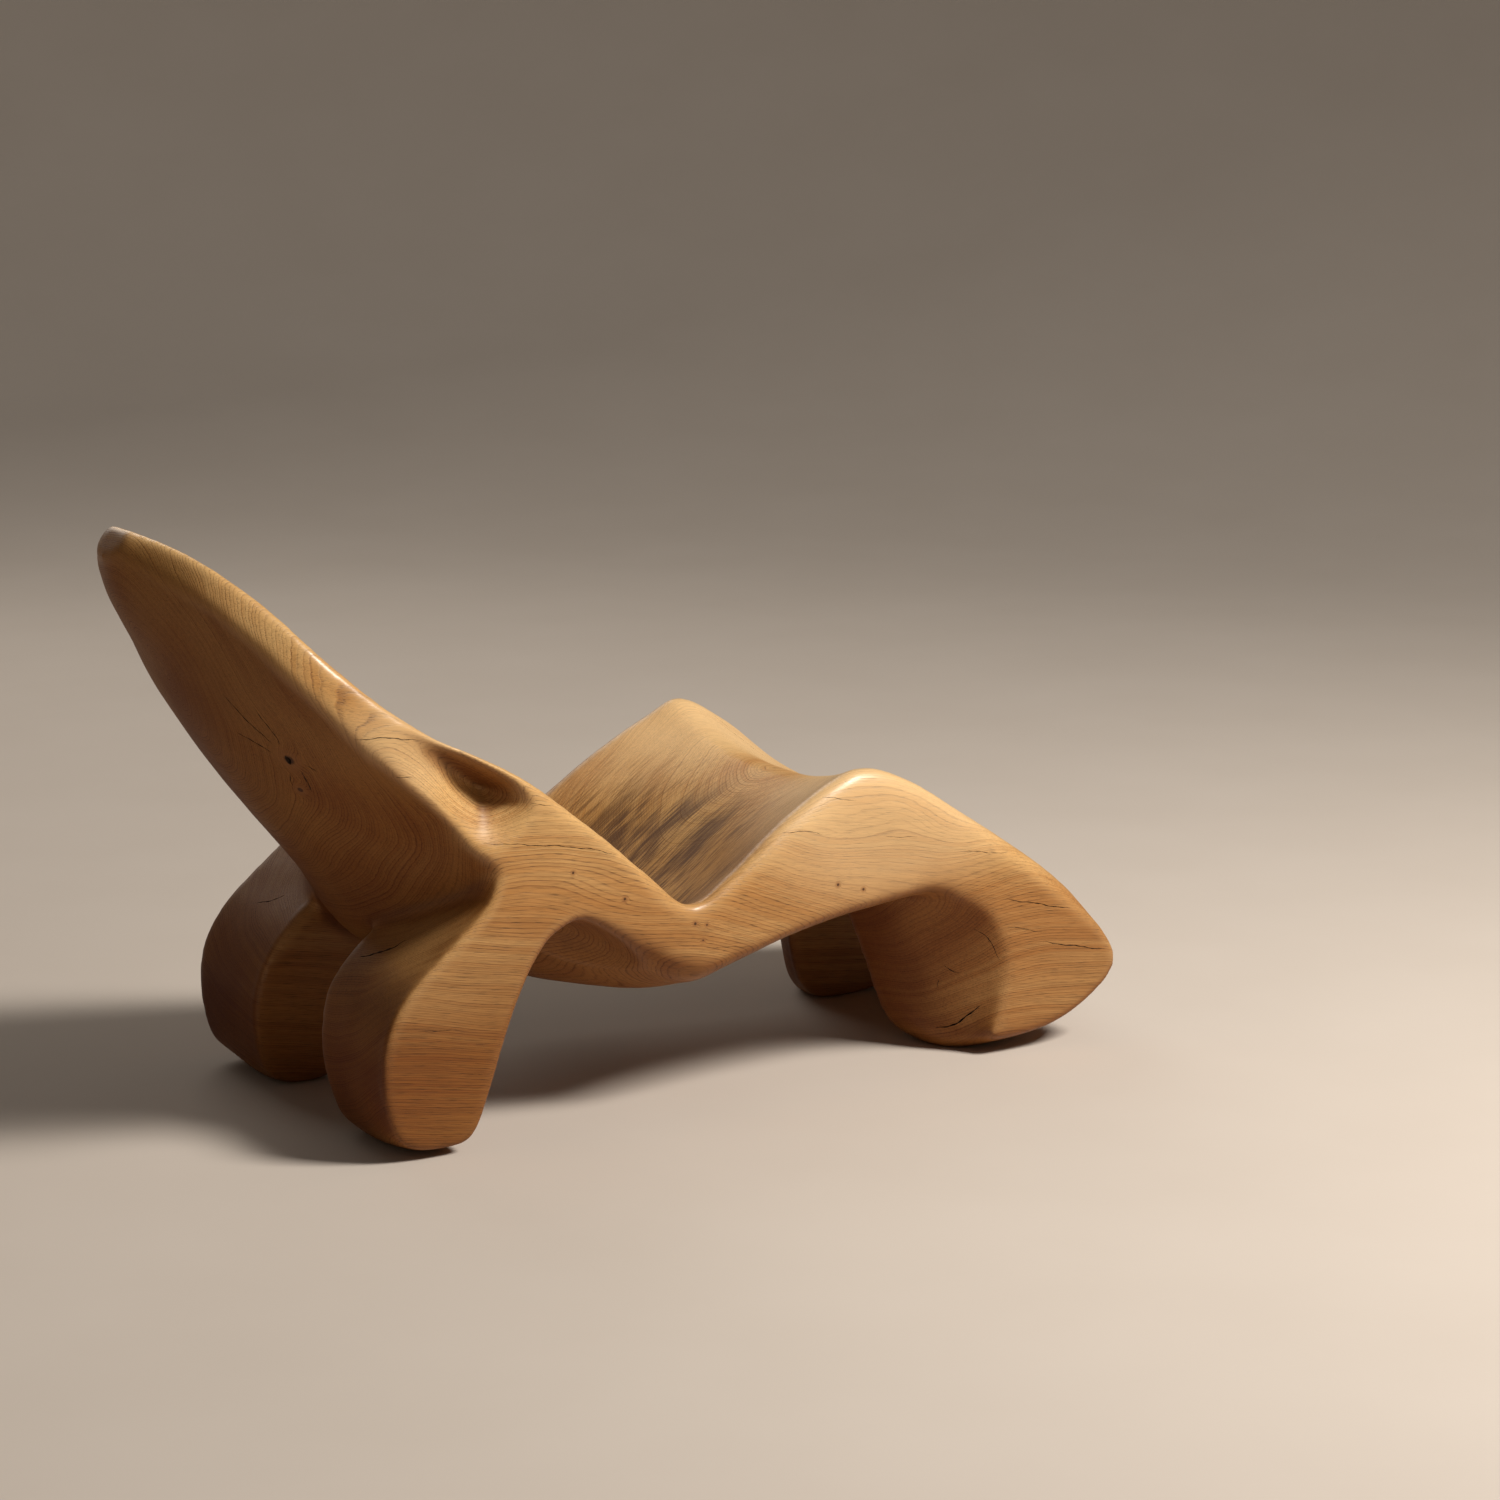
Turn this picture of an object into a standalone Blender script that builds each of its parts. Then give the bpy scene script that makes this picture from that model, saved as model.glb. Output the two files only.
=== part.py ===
"""A carved oak chaise longue: one flowing form, glued up from seven blocks with loose tenons.

The form is laid out as a carver would: a long body whose sections change from the head to the foot,
two rear legs, two front legs, and hollows scooped out under the arms. It is then rounded over as a whole and
sawn along flat glue faces into the blocks that the tenons hold together.

Metres, +Z up. +X points to the foot end, +Y to the sitter's left. The origin is on the floor, in the
middle of the length and of the width.
"""
from math import cos, pi, radians, sin, sqrt

import bmesh
import bpy
from mathutils import Matrix, Vector

# Clearances
GLUE_GAP = 0.0003
TENON_CLEARANCE = 0.0003

# Rounding over of the whole carving: the grid it is merged on, how it is smoothed and thinned out
CARVING_GRID = 0.006
ROUNDING_STRENGTH = 0.5
ROUNDING_PASSES = 7
CARVING_TRIANGLES = 9000

# The body from head to foot. Each station gives the upper ridge and the lower edge of the side as
# (x, z), half the width there, how deep the hollow is in the middle of the upper face, how far the
# lower face swells in the middle, how far the ridge's round edge reaches inwards and how many times
# deeper it drops, the lower edge's radius, and how much higher the left ridge is than the right one.
BODY = (
    # upper ridge     lower edge        width  hollow  swell  ridge      edge   left
    ((-0.666, 0.798), (-0.686, 0.772), 0.034, 0.000, 0.010, 0.012, 1.0, 0.012, 0.000),
    ((-0.636, 0.786), (-0.660, 0.746), 0.100, 0.005, 0.032, 0.016, 1.0, 0.012, 0.000),
    ((-0.600, 0.760), (-0.630, 0.720), 0.165, 0.012, 0.048, 0.016, 1.0, 0.012, 0.000),
    ((-0.552, 0.712), (-0.586, 0.670), 0.220, 0.020, 0.060, 0.016, 1.0, 0.012, 0.000),
    ((-0.514, 0.667), (-0.550, 0.623), 0.257, 0.028, 0.072, 0.016, 1.0, 0.012, 0.000),
    ((-0.466, 0.622), (-0.504, 0.572), 0.276, 0.035, 0.085, 0.016, 1.0, 0.012, 0.000),
    ((-0.418, 0.583), (-0.460, 0.526), 0.284, 0.042, 0.096, 0.016, 1.0, 0.012, 0.000),
    ((-0.364, 0.548), (-0.412, 0.486), 0.285, 0.050, 0.110, 0.016, 1.0, 0.012, 0.000),
    ((-0.300, 0.518), (-0.350, 0.432), 0.285, 0.060, 0.130, 0.016, 1.0, 0.014, 0.000),
    ((-0.238, 0.483), (-0.286, 0.355), 0.285, 0.070, 0.145, 0.016, 1.0, 0.020, 0.000),
    ((-0.137, 0.406), (-0.172, 0.272), 0.285, 0.076, 0.095, 0.016, 1.2, 0.036, 0.000),
    ((-0.070, 0.348), (-0.088, 0.222), 0.284, 0.080, 0.080, 0.016, 1.4, 0.040, 0.000),
    ((-0.003, 0.294), (0.002, 0.180), 0.283, 0.080, 0.058, 0.018, 1.4, 0.034, 0.000),
    ((0.065, 0.327), (0.060, 0.192), 0.280, 0.078, 0.064, 0.022, 1.6, 0.022, 0.000),
    ((0.151, 0.389), (0.155, 0.218), 0.276, 0.072, 0.048, 0.026, 2.0, 0.016, 0.000),
    ((0.240, 0.434), (0.245, 0.234), 0.270, 0.062, 0.034, 0.026, 2.3, 0.016, 0.006),
    ((0.292, 0.442), (0.300, 0.240), 0.268, 0.054, 0.028, 0.026, 2.5, 0.016, 0.018),
    ((0.360, 0.417), (0.360, 0.245), 0.268, 0.060, 0.020, 0.024, 2.4, 0.016, 0.006),
    ((0.452, 0.358), (0.446, 0.236), 0.266, 0.056, 0.000, 0.022, 2.0, 0.016, -0.010),
    ((0.555, 0.287), (0.540, 0.196), 0.263, 0.036, -0.010, 0.022, 1.4, 0.018, -0.004),
    ((0.628, 0.226), (0.606, 0.146), 0.259, 0.022, -0.016, 0.020, 1.2, 0.020, 0.000),
    ((0.676, 0.173), (0.660, 0.108), 0.252, 0.008, -0.012, 0.018, 1.0, 0.020, 0.000),
    ((0.700, 0.136), (0.696, 0.106), 0.240, 0.000, -0.006, 0.014, 1.0, 0.014, 0.000),
)
HOLLOW_POWER = 2.5
SWELL_POWER = 1.4

# Legs: outlines in side view, (x, z), and their sections from the inner to the outer face, each with
# its place across the width, its outline and how far the foot's edge is lifted off the floor there.
REAR_LEG = (
    (-0.130, 0.304), (-0.138, 0.291), (-0.180, 0.284), (-0.214, 0.266), (-0.238, 0.234), (-0.260, 0.190),
    (-0.277, 0.148), (-0.302, 0.078), (-0.324, 0.020), (-0.346, 0.000), (-0.396, 0.000), (-0.432, 0.024),
    (-0.450, 0.076), (-0.454, 0.130), (-0.442, 0.182), (-0.412, 0.226), (-0.362, 0.270), (-0.306, 0.320),
    (-0.280, 0.366), (-0.230, 0.352), (-0.170, 0.322),
)
FRONT_LEG = (
    (0.330, 0.280), (0.346, 0.220), (0.366, 0.170), (0.382, 0.120), (0.396, 0.070), (0.416, 0.028),
    (0.446, 0.004), (0.470, 0.000), (0.520, 0.000), (0.575, 0.014), (0.640, 0.052), (0.690, 0.094),
    (0.692, 0.118), (0.654, 0.150), (0.585, 0.194), (0.475, 0.256),
)
FRONT_LEG_MIDDLE = (
    (0.350, 0.280), (0.376, 0.226), (0.400, 0.176), (0.420, 0.126), (0.430, 0.076), (0.438, 0.034),
    (0.456, 0.006), (0.476, 0.000), (0.520, 0.000), (0.575, 0.014), (0.640, 0.052), (0.690, 0.094),
    (0.696, 0.128), (0.660, 0.178), (0.590, 0.230), (0.480, 0.300),
)
FRONT_LEG_OUTER = (
    (0.390, 0.268), (0.432, 0.234), (0.478, 0.211), (0.503, 0.174), (0.512, 0.130), (0.505, 0.086),
    (0.497, 0.048), (0.486, 0.022), (0.510, 0.006), (0.575, 0.016), (0.640, 0.052), (0.690, 0.094),
    (0.696, 0.128), (0.660, 0.178), (0.590, 0.230), (0.480, 0.300),
)
REAR_LEG_SECTIONS = ((0.085, REAR_LEG, 0.006), (0.180, REAR_LEG, 0.000), (0.285, REAR_LEG, 0.016))
FRONT_LEG_SECTIONS = (
    (0.085, FRONT_LEG, 0.002), (0.190, FRONT_LEG_MIDDLE, 0.000), (0.268, FRONT_LEG_OUTER, 0.024),
)
FOOT_ROUNDING_HEIGHT = 0.080
INNER_SPLAY = 0.030
INNER_SPLAY_HEIGHT = 0.200
FEET_TRIM = 0.002

# Hollows on each side: a shallow scoop under the arm's ridge, a deep pocket at its upper edge, and a cove
# between the rear leg and the belly.
# Each is an egg: its middle, half sizes, slope in side view, inward turn, roll of its upper side inwards,
# and by what share it is fuller at its lower end.
SCOOP = ((-0.340, 0.311, 0.472), (0.112, 0.036, 0.042), radians(33.5), radians(8), radians(12), 0.25)
POCKET = ((-0.300, 0.291, 0.470), (0.075, 0.037, 0.021), radians(31), radians(20), radians(15), 0.45)
COVE = ((-0.150, 0.300, 0.208), (0.128, 0.110, 0.062), radians(28), radians(-4), 0.0, -0.20)
SCOOP_RINGS = 20
SCOOP_POINTS = 32

# Glue faces
WAIST_POINT = (-0.287, 0.350)
WAIST_SLOPE = radians(40)
KNEE_JOINT_X = 0.100
REAR_LEG_JOINT_Z = 0.175
REAR_LEG_JOINT_FRONT = -0.215
FRONT_LEG_JOINT_POINT = (0.340, 0.199)
FRONT_LEG_JOINT_SLOPE = radians(-23.4)
LEG_JOINT_INNER_Y = 0.060

# Loose tenons: length across the joint, width and thickness, and their places
BACK_TENON = (0.110, 0.070, 0.022)
BACK_TENON_ALONG = -0.020
KNEE_TENON = (0.110, 0.070, 0.022)
KNEE_TENON_Z = 0.228
BODY_TENON_Y = 0.130
REAR_LEG_TENON = (0.090, 0.080, 0.022)
REAR_LEG_TENON_X = -0.345
FRONT_LEG_TENON = (0.084, 0.076, 0.022)
FRONT_LEG_TENON_ALONG = 0.205
LEG_TENON_INNER_Y = 0.150
LEG_TENON_PITCH = 0.058
TENON_EDGE_STEPS = 6

# Anything larger than the whole chaise, for the boxes that saw it
BEYOND = 3.0

STEPS_BETWEEN_STATIONS = 4
POINTS_ACROSS = 33
STEPS_BETWEEN_OUTLINE_POINTS = 3
STEPS_BETWEEN_LEG_SECTIONS = 4

OAK_COLOUR = (0.46, 0.25, 0.10, 1.0)
OAK_ROUGHNESS = 0.42
TENON_COLOUR = (0.55, 0.34, 0.16, 1.0)
TENON_ROUGHNESS = 0.60
SIDES = (("left", 1), ("right", -1))


def clear_scene():
    """Remove whatever the scene holds."""
    for obj in list(bpy.data.objects):
        bpy.data.objects.remove(obj, do_unlink=True)


def new_collection(name):
    """A collection in the scene."""
    collection = bpy.data.collections.new(name)
    bpy.context.scene.collection.children.link(collection)
    return collection


def wood(name, colour, roughness):
    """A plain waxed wood."""
    material = bpy.data.materials.new(name)
    material.use_nodes = True
    shader = material.node_tree.nodes["Principled BSDF"]
    shader.inputs["Base Color"].default_value = colour
    shader.inputs["Roughness"].default_value = roughness
    shader.inputs["Metallic"].default_value = 0.0
    return material


def smooth_through(points, steps, closed):
    """Points on a smooth curve through the given ones (Catmull-Rom), each a tuple of any length."""
    count = len(points)
    spans = count if closed else count - 1
    result = []
    for span in range(spans):
        if closed:
            around = [points[(span + k - 1) % count] for k in range(4)]
        else:
            around = [points[min(max(span + k - 1, 0), count - 1)] for k in range(4)]
        for step in range(steps):
            t = step / steps
            weights = (
                (-t + 2 * t**2 - t**3) / 2,
                (2 - 5 * t**2 + 3 * t**3) / 2,
                (t + 4 * t**2 - 3 * t**3) / 2,
                (-t**2 + t**3) / 2,
            )
            blend = (sum(w * p[k] for w, p in zip(weights, around)) for k in range(len(points[0])))
            result.append(tuple(blend))
    if not closed:
        result.append(tuple(points[-1]))
    return result


def loft(loops, name):
    """A closed mesh through loops with equal numbers of points, its ends capped."""
    mesh = bpy.data.meshes.new(name)
    form = bmesh.new()
    rings = [[form.verts.new(point) for point in loop] for loop in loops]
    count = len(rings[0])
    for first, second in zip(rings, rings[1:]):
        for k in range(count):
            form.faces.new((first[k], first[(k + 1) % count], second[(k + 1) % count], second[k]))
    form.faces.new(rings[0])
    form.faces.new(rings[-1])
    bmesh.ops.recalc_face_normals(form, faces=form.faces)
    form.to_mesh(mesh)
    form.free()
    return mesh


def body_section(ridge_x, ridge_z, edge_x, edge_z, half_width, hollow, swell, ridge_reach, droop,
                 edge_radius, lift):
    """One cross section of the body: hollowed above, swelling below, with round edges."""
    ridge = Vector((ridge_x, 0.0, ridge_z))
    edge = Vector((edge_x, 0.0, edge_z))
    rise = ridge - edge
    thickness = rise.length
    upward = rise.normalized()
    across = [sin(pi * (k / (POINTS_ACROSS - 1) - 0.5)) for k in range(POINTS_ACROSS)]

    def rounding(u, reach):
        """How far a round edge drops, u from -1 to 1."""
        radius = min(reach, thickness / 2, half_width)
        into_corner = max(0.0, abs(u) * half_width - (half_width - radius)) / radius
        return radius * (1 - sqrt(max(0.0, 1 - into_corner**2)))

    def upper_height(u):
        """Distance of the upper face above the lower edge."""
        hollowed = thickness - hollow * (1 - abs(u) ** HOLLOW_POWER)
        return hollowed + lift * max(0.0, u) ** HOLLOW_POWER - droop * rounding(u, ridge_reach)

    def lower_height(u):
        """Distance of the lower face above the lower edge."""
        return rounding(u, edge_radius) - swell * max(0.0, 1 - u * u) ** SWELL_POWER

    lower_face = [edge + upward * lower_height(u) + Vector((0.0, u * half_width, 0.0)) for u in across]
    upper_face = [edge + upward * upper_height(u) + Vector((0.0, u * half_width, 0.0)) for u in across]
    return lower_face + upper_face[::-1]


def body_mesh():
    """The long body from the head to the foot end."""
    rows = [(*ridge, *edge, *others) for ridge, edge, *others in BODY]
    sections = [body_section(*row) for row in smooth_through(rows, STEPS_BETWEEN_STATIONS, False)]
    return loft(sections, "body")


def leg_mesh(sections, side):
    """A leg through its sections, on one side of the middle."""
    loops = []
    for y, outline, lift in sections:
        loop = []
        for x, z in smooth_through(outline, STEPS_BETWEEN_OUTLINE_POINTS, True):
            near_floor = max(0.0, 1 - z / FOOT_ROUNDING_HEIGHT)
            below_body = max(0.0, 1 - z / INNER_SPLAY_HEIGHT)
            splay = INNER_SPLAY * below_body if y == sections[0][0] else 0.0
            loop.append((x, side * (y + splay), z + lift * near_floor**2))
        loops.append([value for point in loop for value in point])
    rows = smooth_through(loops, STEPS_BETWEEN_LEG_SECTIONS, False)
    return loft([[row[k:k + 3] for k in range(0, len(row), 3)] for row in rows], "leg")


def linked_object(mesh, name, collection):
    """An object for a mesh."""
    obj = bpy.data.objects.new(name, mesh)
    collection.objects.link(obj)
    return obj


def as_cutter(obj):
    """Keep a shape as a guide only."""
    obj.hide_render = True
    obj.display_type = "WIRE"
    return obj


def cut_box(name, matrix, sizes, collection):
    """A box cutter of the given sizes, centred on a frame."""
    mesh = bpy.data.meshes.new(name)
    form = bmesh.new()
    bmesh.ops.create_cube(form, size=1.0, matrix=Matrix.Diagonal((*sizes, 1.0)))
    form.to_mesh(mesh)
    form.free()
    obj = as_cutter(linked_object(mesh, name, collection))
    obj.matrix_world = matrix
    return obj


def add_boolean(obj, cutter, operation):
    """A Boolean that stays on the object."""
    modifier = obj.modifiers.new(cutter.name, "BOOLEAN")
    modifier.operation = operation
    modifier.object = cutter
    modifier.solver = "EXACT"


def evaluated_mesh(obj):
    """The object's mesh with its modifiers, as a mesh of its own."""
    graph = bpy.context.evaluated_depsgraph_get()
    return bpy.data.meshes.new_from_object(obj.evaluated_get(graph), depsgraph=graph)


def scoop_mesh(scoop, side):
    """One hollow's egg, on one side of the middle."""
    (x, y, z), half_sizes, slope, inward_turn, roll, fullness = scoop
    turn = Matrix.Rotation(slope, 4, "Y") @ Matrix.Rotation(-side * inward_turn, 4, "Z")
    turn = turn @ Matrix.Rotation(side * roll, 4, "X")
    place = Matrix.Translation((x, side * y, z)) @ turn @ Matrix.Diagonal((*half_sizes, 1.0))
    loops = []
    for ring in range(SCOOP_RINGS):
        along = pi * (ring + 0.5) / SCOOP_RINGS
        girth = sin(along) * (1 + fullness * cos(along))
        around = [2 * pi * k / SCOOP_POINTS for k in range(SCOOP_POINTS)]
        loops.append([place @ Vector((cos(along), girth * cos(a), girth * sin(a))) for a in around])
    return loft(loops, "scoop")


def joined(meshes, name):
    """Closed meshes side by side in one mesh."""
    form = bmesh.new()
    for mesh in meshes:
        form.from_mesh(mesh)
        bpy.data.meshes.remove(mesh)
    mesh = bpy.data.meshes.new(name)
    form.to_mesh(mesh)
    form.free()
    return mesh


def carving_mesh(cutters):
    """The whole carved form as one closed mesh."""
    body = as_cutter(linked_object(body_mesh(), "body", cutters))
    for name, scoop in (("scoops", SCOOP), ("pockets", POCKET), ("coves", COVE)):
        eggs = joined([scoop_mesh(scoop, side) for _, side in SIDES], name)
        add_boolean(body, as_cutter(linked_object(eggs, name, cutters)), "DIFFERENCE")
    kinds = (REAR_LEG_SECTIONS, FRONT_LEG_SECTIONS)
    legs = [leg_mesh(sections, side) for sections in kinds for _, side in SIDES]
    mesh = joined([evaluated_mesh(body), *legs], "roughed out")
    rough = as_cutter(linked_object(mesh, "roughed_out", cutters))
    merge = rough.modifiers.new("merge", "REMESH")
    merge.mode = "VOXEL"
    merge.voxel_size = CARVING_GRID
    rounding = rough.modifiers.new("round over", "SMOOTH")
    rounding.factor = ROUNDING_STRENGTH
    rounding.iterations = ROUNDING_PASSES
    fine = evaluated_mesh(rough)
    fine.calc_loop_triangles()
    thin = rough.modifiers.new("thin out", "DECIMATE")
    thin.ratio = min(1.0, CARVING_TRIANGLES / len(fine.loop_triangles))
    return evaluated_mesh(rough)


def frame_at(point, slope):
    """A frame on a glue face: its X runs along the face in side view, its Z stands square on it."""
    x, z = point
    return Matrix.Translation((x, 0.0, z)) @ Matrix.Rotation(-slope, 4, "Y")


def saw_boxes(cutters):
    """The boxes beyond the floor and each glue face, those of the blocks' neighbours a gap larger."""
    half = BEYOND / 2
    leg_span = BEYOND - LEG_JOINT_INNER_Y
    places = {"floor": Matrix.Translation((0.0, 0.0, FEET_TRIM - half))}
    for grown, gap in (("", -GLUE_GAP / 2), ("_grown", GLUE_GAP / 2)):
        waist = frame_at(WAIST_POINT, WAIST_SLOPE)
        places["waist" + grown] = waist @ Matrix.Translation((0.0, 0.0, half - gap))
        places["knee" + grown] = Matrix.Translation((KNEE_JOINT_X + half - gap, 0.0, 0.0))
        for name, side in SIDES:
            y = side * (LEG_JOINT_INNER_Y + leg_span / 2)
            rear = (REAR_LEG_JOINT_FRONT - half, y, REAR_LEG_JOINT_Z - half + gap)
            places["rear_" + name + grown] = Matrix.Translation(rear)
            front = frame_at(FRONT_LEG_JOINT_POINT, FRONT_LEG_JOINT_SLOPE)
            places["front_" + name + grown] = front @ Matrix.Translation((half, y, -half + gap))
    boxes = {}
    for name, matrix in places.items():
        for_leg = name.startswith(("rear", "front"))
        sizes = (BEYOND, leg_span if for_leg else BEYOND, BEYOND)
        boxes[name] = cut_box(name, matrix, sizes, cutters)
    return boxes


def tenon_mesh(sizes, extra, name):
    """A loose tenon with round long edges: its length along Z, width along X, thickness along Y."""
    length, width, thickness = (size + 2 * extra for size in sizes)
    mesh = bpy.data.meshes.new(name)
    form = bmesh.new()
    radius = thickness / 2
    half_flat = width / 2 - radius
    arc = [pi * (k / TENON_EDGE_STEPS - 0.5) for k in range(TENON_EDGE_STEPS + 1)]
    outline = [(half_flat + radius * cos(a), radius * sin(a)) for a in arc]
    outline += [(-half_flat - radius * cos(a), -radius * sin(a)) for a in arc]
    bottom = form.faces.new([form.verts.new((x, y, -length / 2)) for x, y in outline])
    top = bmesh.ops.extrude_face_region(form, geom=[bottom])
    moved = [item for item in top["geom"] if isinstance(item, bmesh.types.BMVert)]
    bmesh.ops.translate(form, verts=moved, vec=(0.0, 0.0, length))
    bmesh.ops.recalc_face_normals(form, faces=form.faces)
    form.to_mesh(mesh)
    form.free()
    return mesh


def tenon_places():
    """Each loose tenon: its name, sizes, frame and the two blocks it joins."""
    places = []
    quarter_turn = Matrix.Rotation(pi / 2, 4, "Z")
    for name, side in SIDES:
        y = side * BODY_TENON_Y
        waist = frame_at(WAIST_POINT, WAIST_SLOPE) @ Matrix.Translation((BACK_TENON_ALONG, y, 0.0))
        places.append(("back_tenon_" + name, BACK_TENON, waist @ quarter_turn, ("backrest", "seat")))
        knee = Matrix.Translation((KNEE_JOINT_X, y, KNEE_TENON_Z)) @ Matrix.Rotation(pi / 2, 4, "Y")
        places.append(("knee_tenon_" + name, KNEE_TENON, knee @ quarter_turn, ("seat", "knee_rest")))
        for k, row in enumerate(("inner", "outer")):
            y = side * (LEG_TENON_INNER_Y + k * LEG_TENON_PITCH)
            rear = Matrix.Translation((REAR_LEG_TENON_X, y, REAR_LEG_JOINT_Z))
            rear_name = "rear_leg_tenon_" + name + "_" + row
            places.append((rear_name, REAR_LEG_TENON, rear, ("seat", "rear_leg_" + name)))
            front = frame_at(FRONT_LEG_JOINT_POINT, FRONT_LEG_JOINT_SLOPE)
            front = front @ Matrix.Translation((FRONT_LEG_TENON_ALONG, y, 0.0))
            front_name = "front_leg_tenon_" + name + "_" + row
            places.append((front_name, FRONT_LEG_TENON, front, ("knee_rest", "front_leg_" + name)))
    return places


def block_saws():
    """Each block: the saw boxes it lies in and those that are sawn off it."""
    saws = {
        "backrest": (("waist",), ()),
        "seat": ((), ("waist_grown", "knee_grown", "rear_left_grown", "rear_right_grown")),
        "knee_rest": (("knee",), ("front_left_grown", "front_right_grown")),
    }
    for name, _ in SIDES:
        saws["rear_leg_" + name] = (("rear_" + name,), ("floor",))
        saws["front_leg_" + name] = (("front_" + name,), ("floor",))
    return saws


def mortise_cutter(block, places, cutters):
    """All the mortises of one block as one cutter."""
    mortises = []
    for _, sizes, matrix, blocks in places:
        if block in blocks:
            mortises.append(tenon_mesh(sizes, TENON_CLEARANCE, "mortise"))
            mortises[-1].transform(matrix)
    return as_cutter(linked_object(joined(mortises, "mortises_" + block), "mortises_" + block, cutters))


def stand_over_origin(objects, origin):
    """Move everything so that the chaise stands on the floor, with the origin under its middle."""
    graph = bpy.context.evaluated_depsgraph_get()
    corners = []
    for obj in objects:
        shape = obj.evaluated_get(graph)
        corners += [obj.matrix_world @ Vector(corner) for corner in shape.bound_box]
    middle_x = (min(c.x for c in corners) + max(c.x for c in corners)) / 2
    lowest = min(c.z for c in corners)
    origin.location = (-middle_x, 0.0, -lowest)


def build():
    """The blocks and the tenons."""
    clear_scene()
    chaise = new_collection("chaise_longue")
    cutters = new_collection("cutters")
    oak = wood("waxed_oak", OAK_COLOUR, OAK_ROUGHNESS)
    tenon_wood = wood("tenon_oak", TENON_COLOUR, TENON_ROUGHNESS)
    carving = carving_mesh(cutters)
    boxes = saw_boxes(cutters)
    places = tenon_places()
    for block, (inside, off) in block_saws().items():
        obj = linked_object(carving.copy(), block, chaise)
        obj.data.materials.append(oak)
        for box in inside:
            add_boolean(obj, boxes[box], "INTERSECT")
        for box in off:
            add_boolean(obj, boxes[box], "DIFFERENCE")
        add_boolean(obj, mortise_cutter(block, places, cutters), "DIFFERENCE")
    for name, sizes, matrix, _ in places:
        obj = linked_object(tenon_mesh(sizes, 0.0, name), name, chaise)
        obj.matrix_world = matrix
        obj.data.materials.append(tenon_wood)
    origin = bpy.data.objects.new("chaise_origin", None)
    bpy.context.scene.collection.objects.link(origin)
    for obj in (*chaise.objects, *cutters.objects):
        obj.parent = origin
    stand_over_origin(chaise.objects, origin)


build()
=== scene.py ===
# %% [markdown]
# # A carved oak chaise longue
#
# The real chaise is one flowing form in solid oak: a leaf-shaped back that leans far over, arms that run
# down into a seat valley, a raised knee rest and a long slope to the foot end, on four stout legs. The
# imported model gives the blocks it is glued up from, at their real size. This lesson gives them their finish:
# a finer surface, the open drying checks, and waxed oak that is worn where hands and bodies touch it.

import bmesh
import bpy
import numpy as np
from mathutils import Matrix, Vector
from mathutils.bvhtree import BVHTree


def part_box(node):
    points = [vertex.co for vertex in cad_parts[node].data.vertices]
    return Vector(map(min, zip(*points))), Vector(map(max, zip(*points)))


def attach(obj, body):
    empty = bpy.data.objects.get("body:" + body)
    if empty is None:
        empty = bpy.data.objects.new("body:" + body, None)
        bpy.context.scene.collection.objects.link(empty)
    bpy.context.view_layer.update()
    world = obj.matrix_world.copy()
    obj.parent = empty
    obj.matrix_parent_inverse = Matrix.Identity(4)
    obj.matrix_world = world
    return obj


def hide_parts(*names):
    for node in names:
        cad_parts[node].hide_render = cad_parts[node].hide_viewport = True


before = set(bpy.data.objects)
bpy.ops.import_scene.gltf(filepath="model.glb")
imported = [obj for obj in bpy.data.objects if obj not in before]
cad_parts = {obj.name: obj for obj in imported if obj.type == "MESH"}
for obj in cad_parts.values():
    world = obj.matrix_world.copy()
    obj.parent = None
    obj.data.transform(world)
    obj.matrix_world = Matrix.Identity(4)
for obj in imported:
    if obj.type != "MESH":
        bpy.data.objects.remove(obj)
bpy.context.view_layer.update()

# %% [markdown]
# ## The long body
#
# A carver would saw the side view first and then round the edges over. The body is made the same way: at a
# handful of stations from the head to the foot end we set where its upper ridge and its lower edge lie in
# side view, how wide it is, how deep the upper face is hollowed, how far the lower face swells, and how
# round both edges are. A smooth curve through the stations fills in the rest, so that one small table
# holds the whole silhouette.

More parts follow.
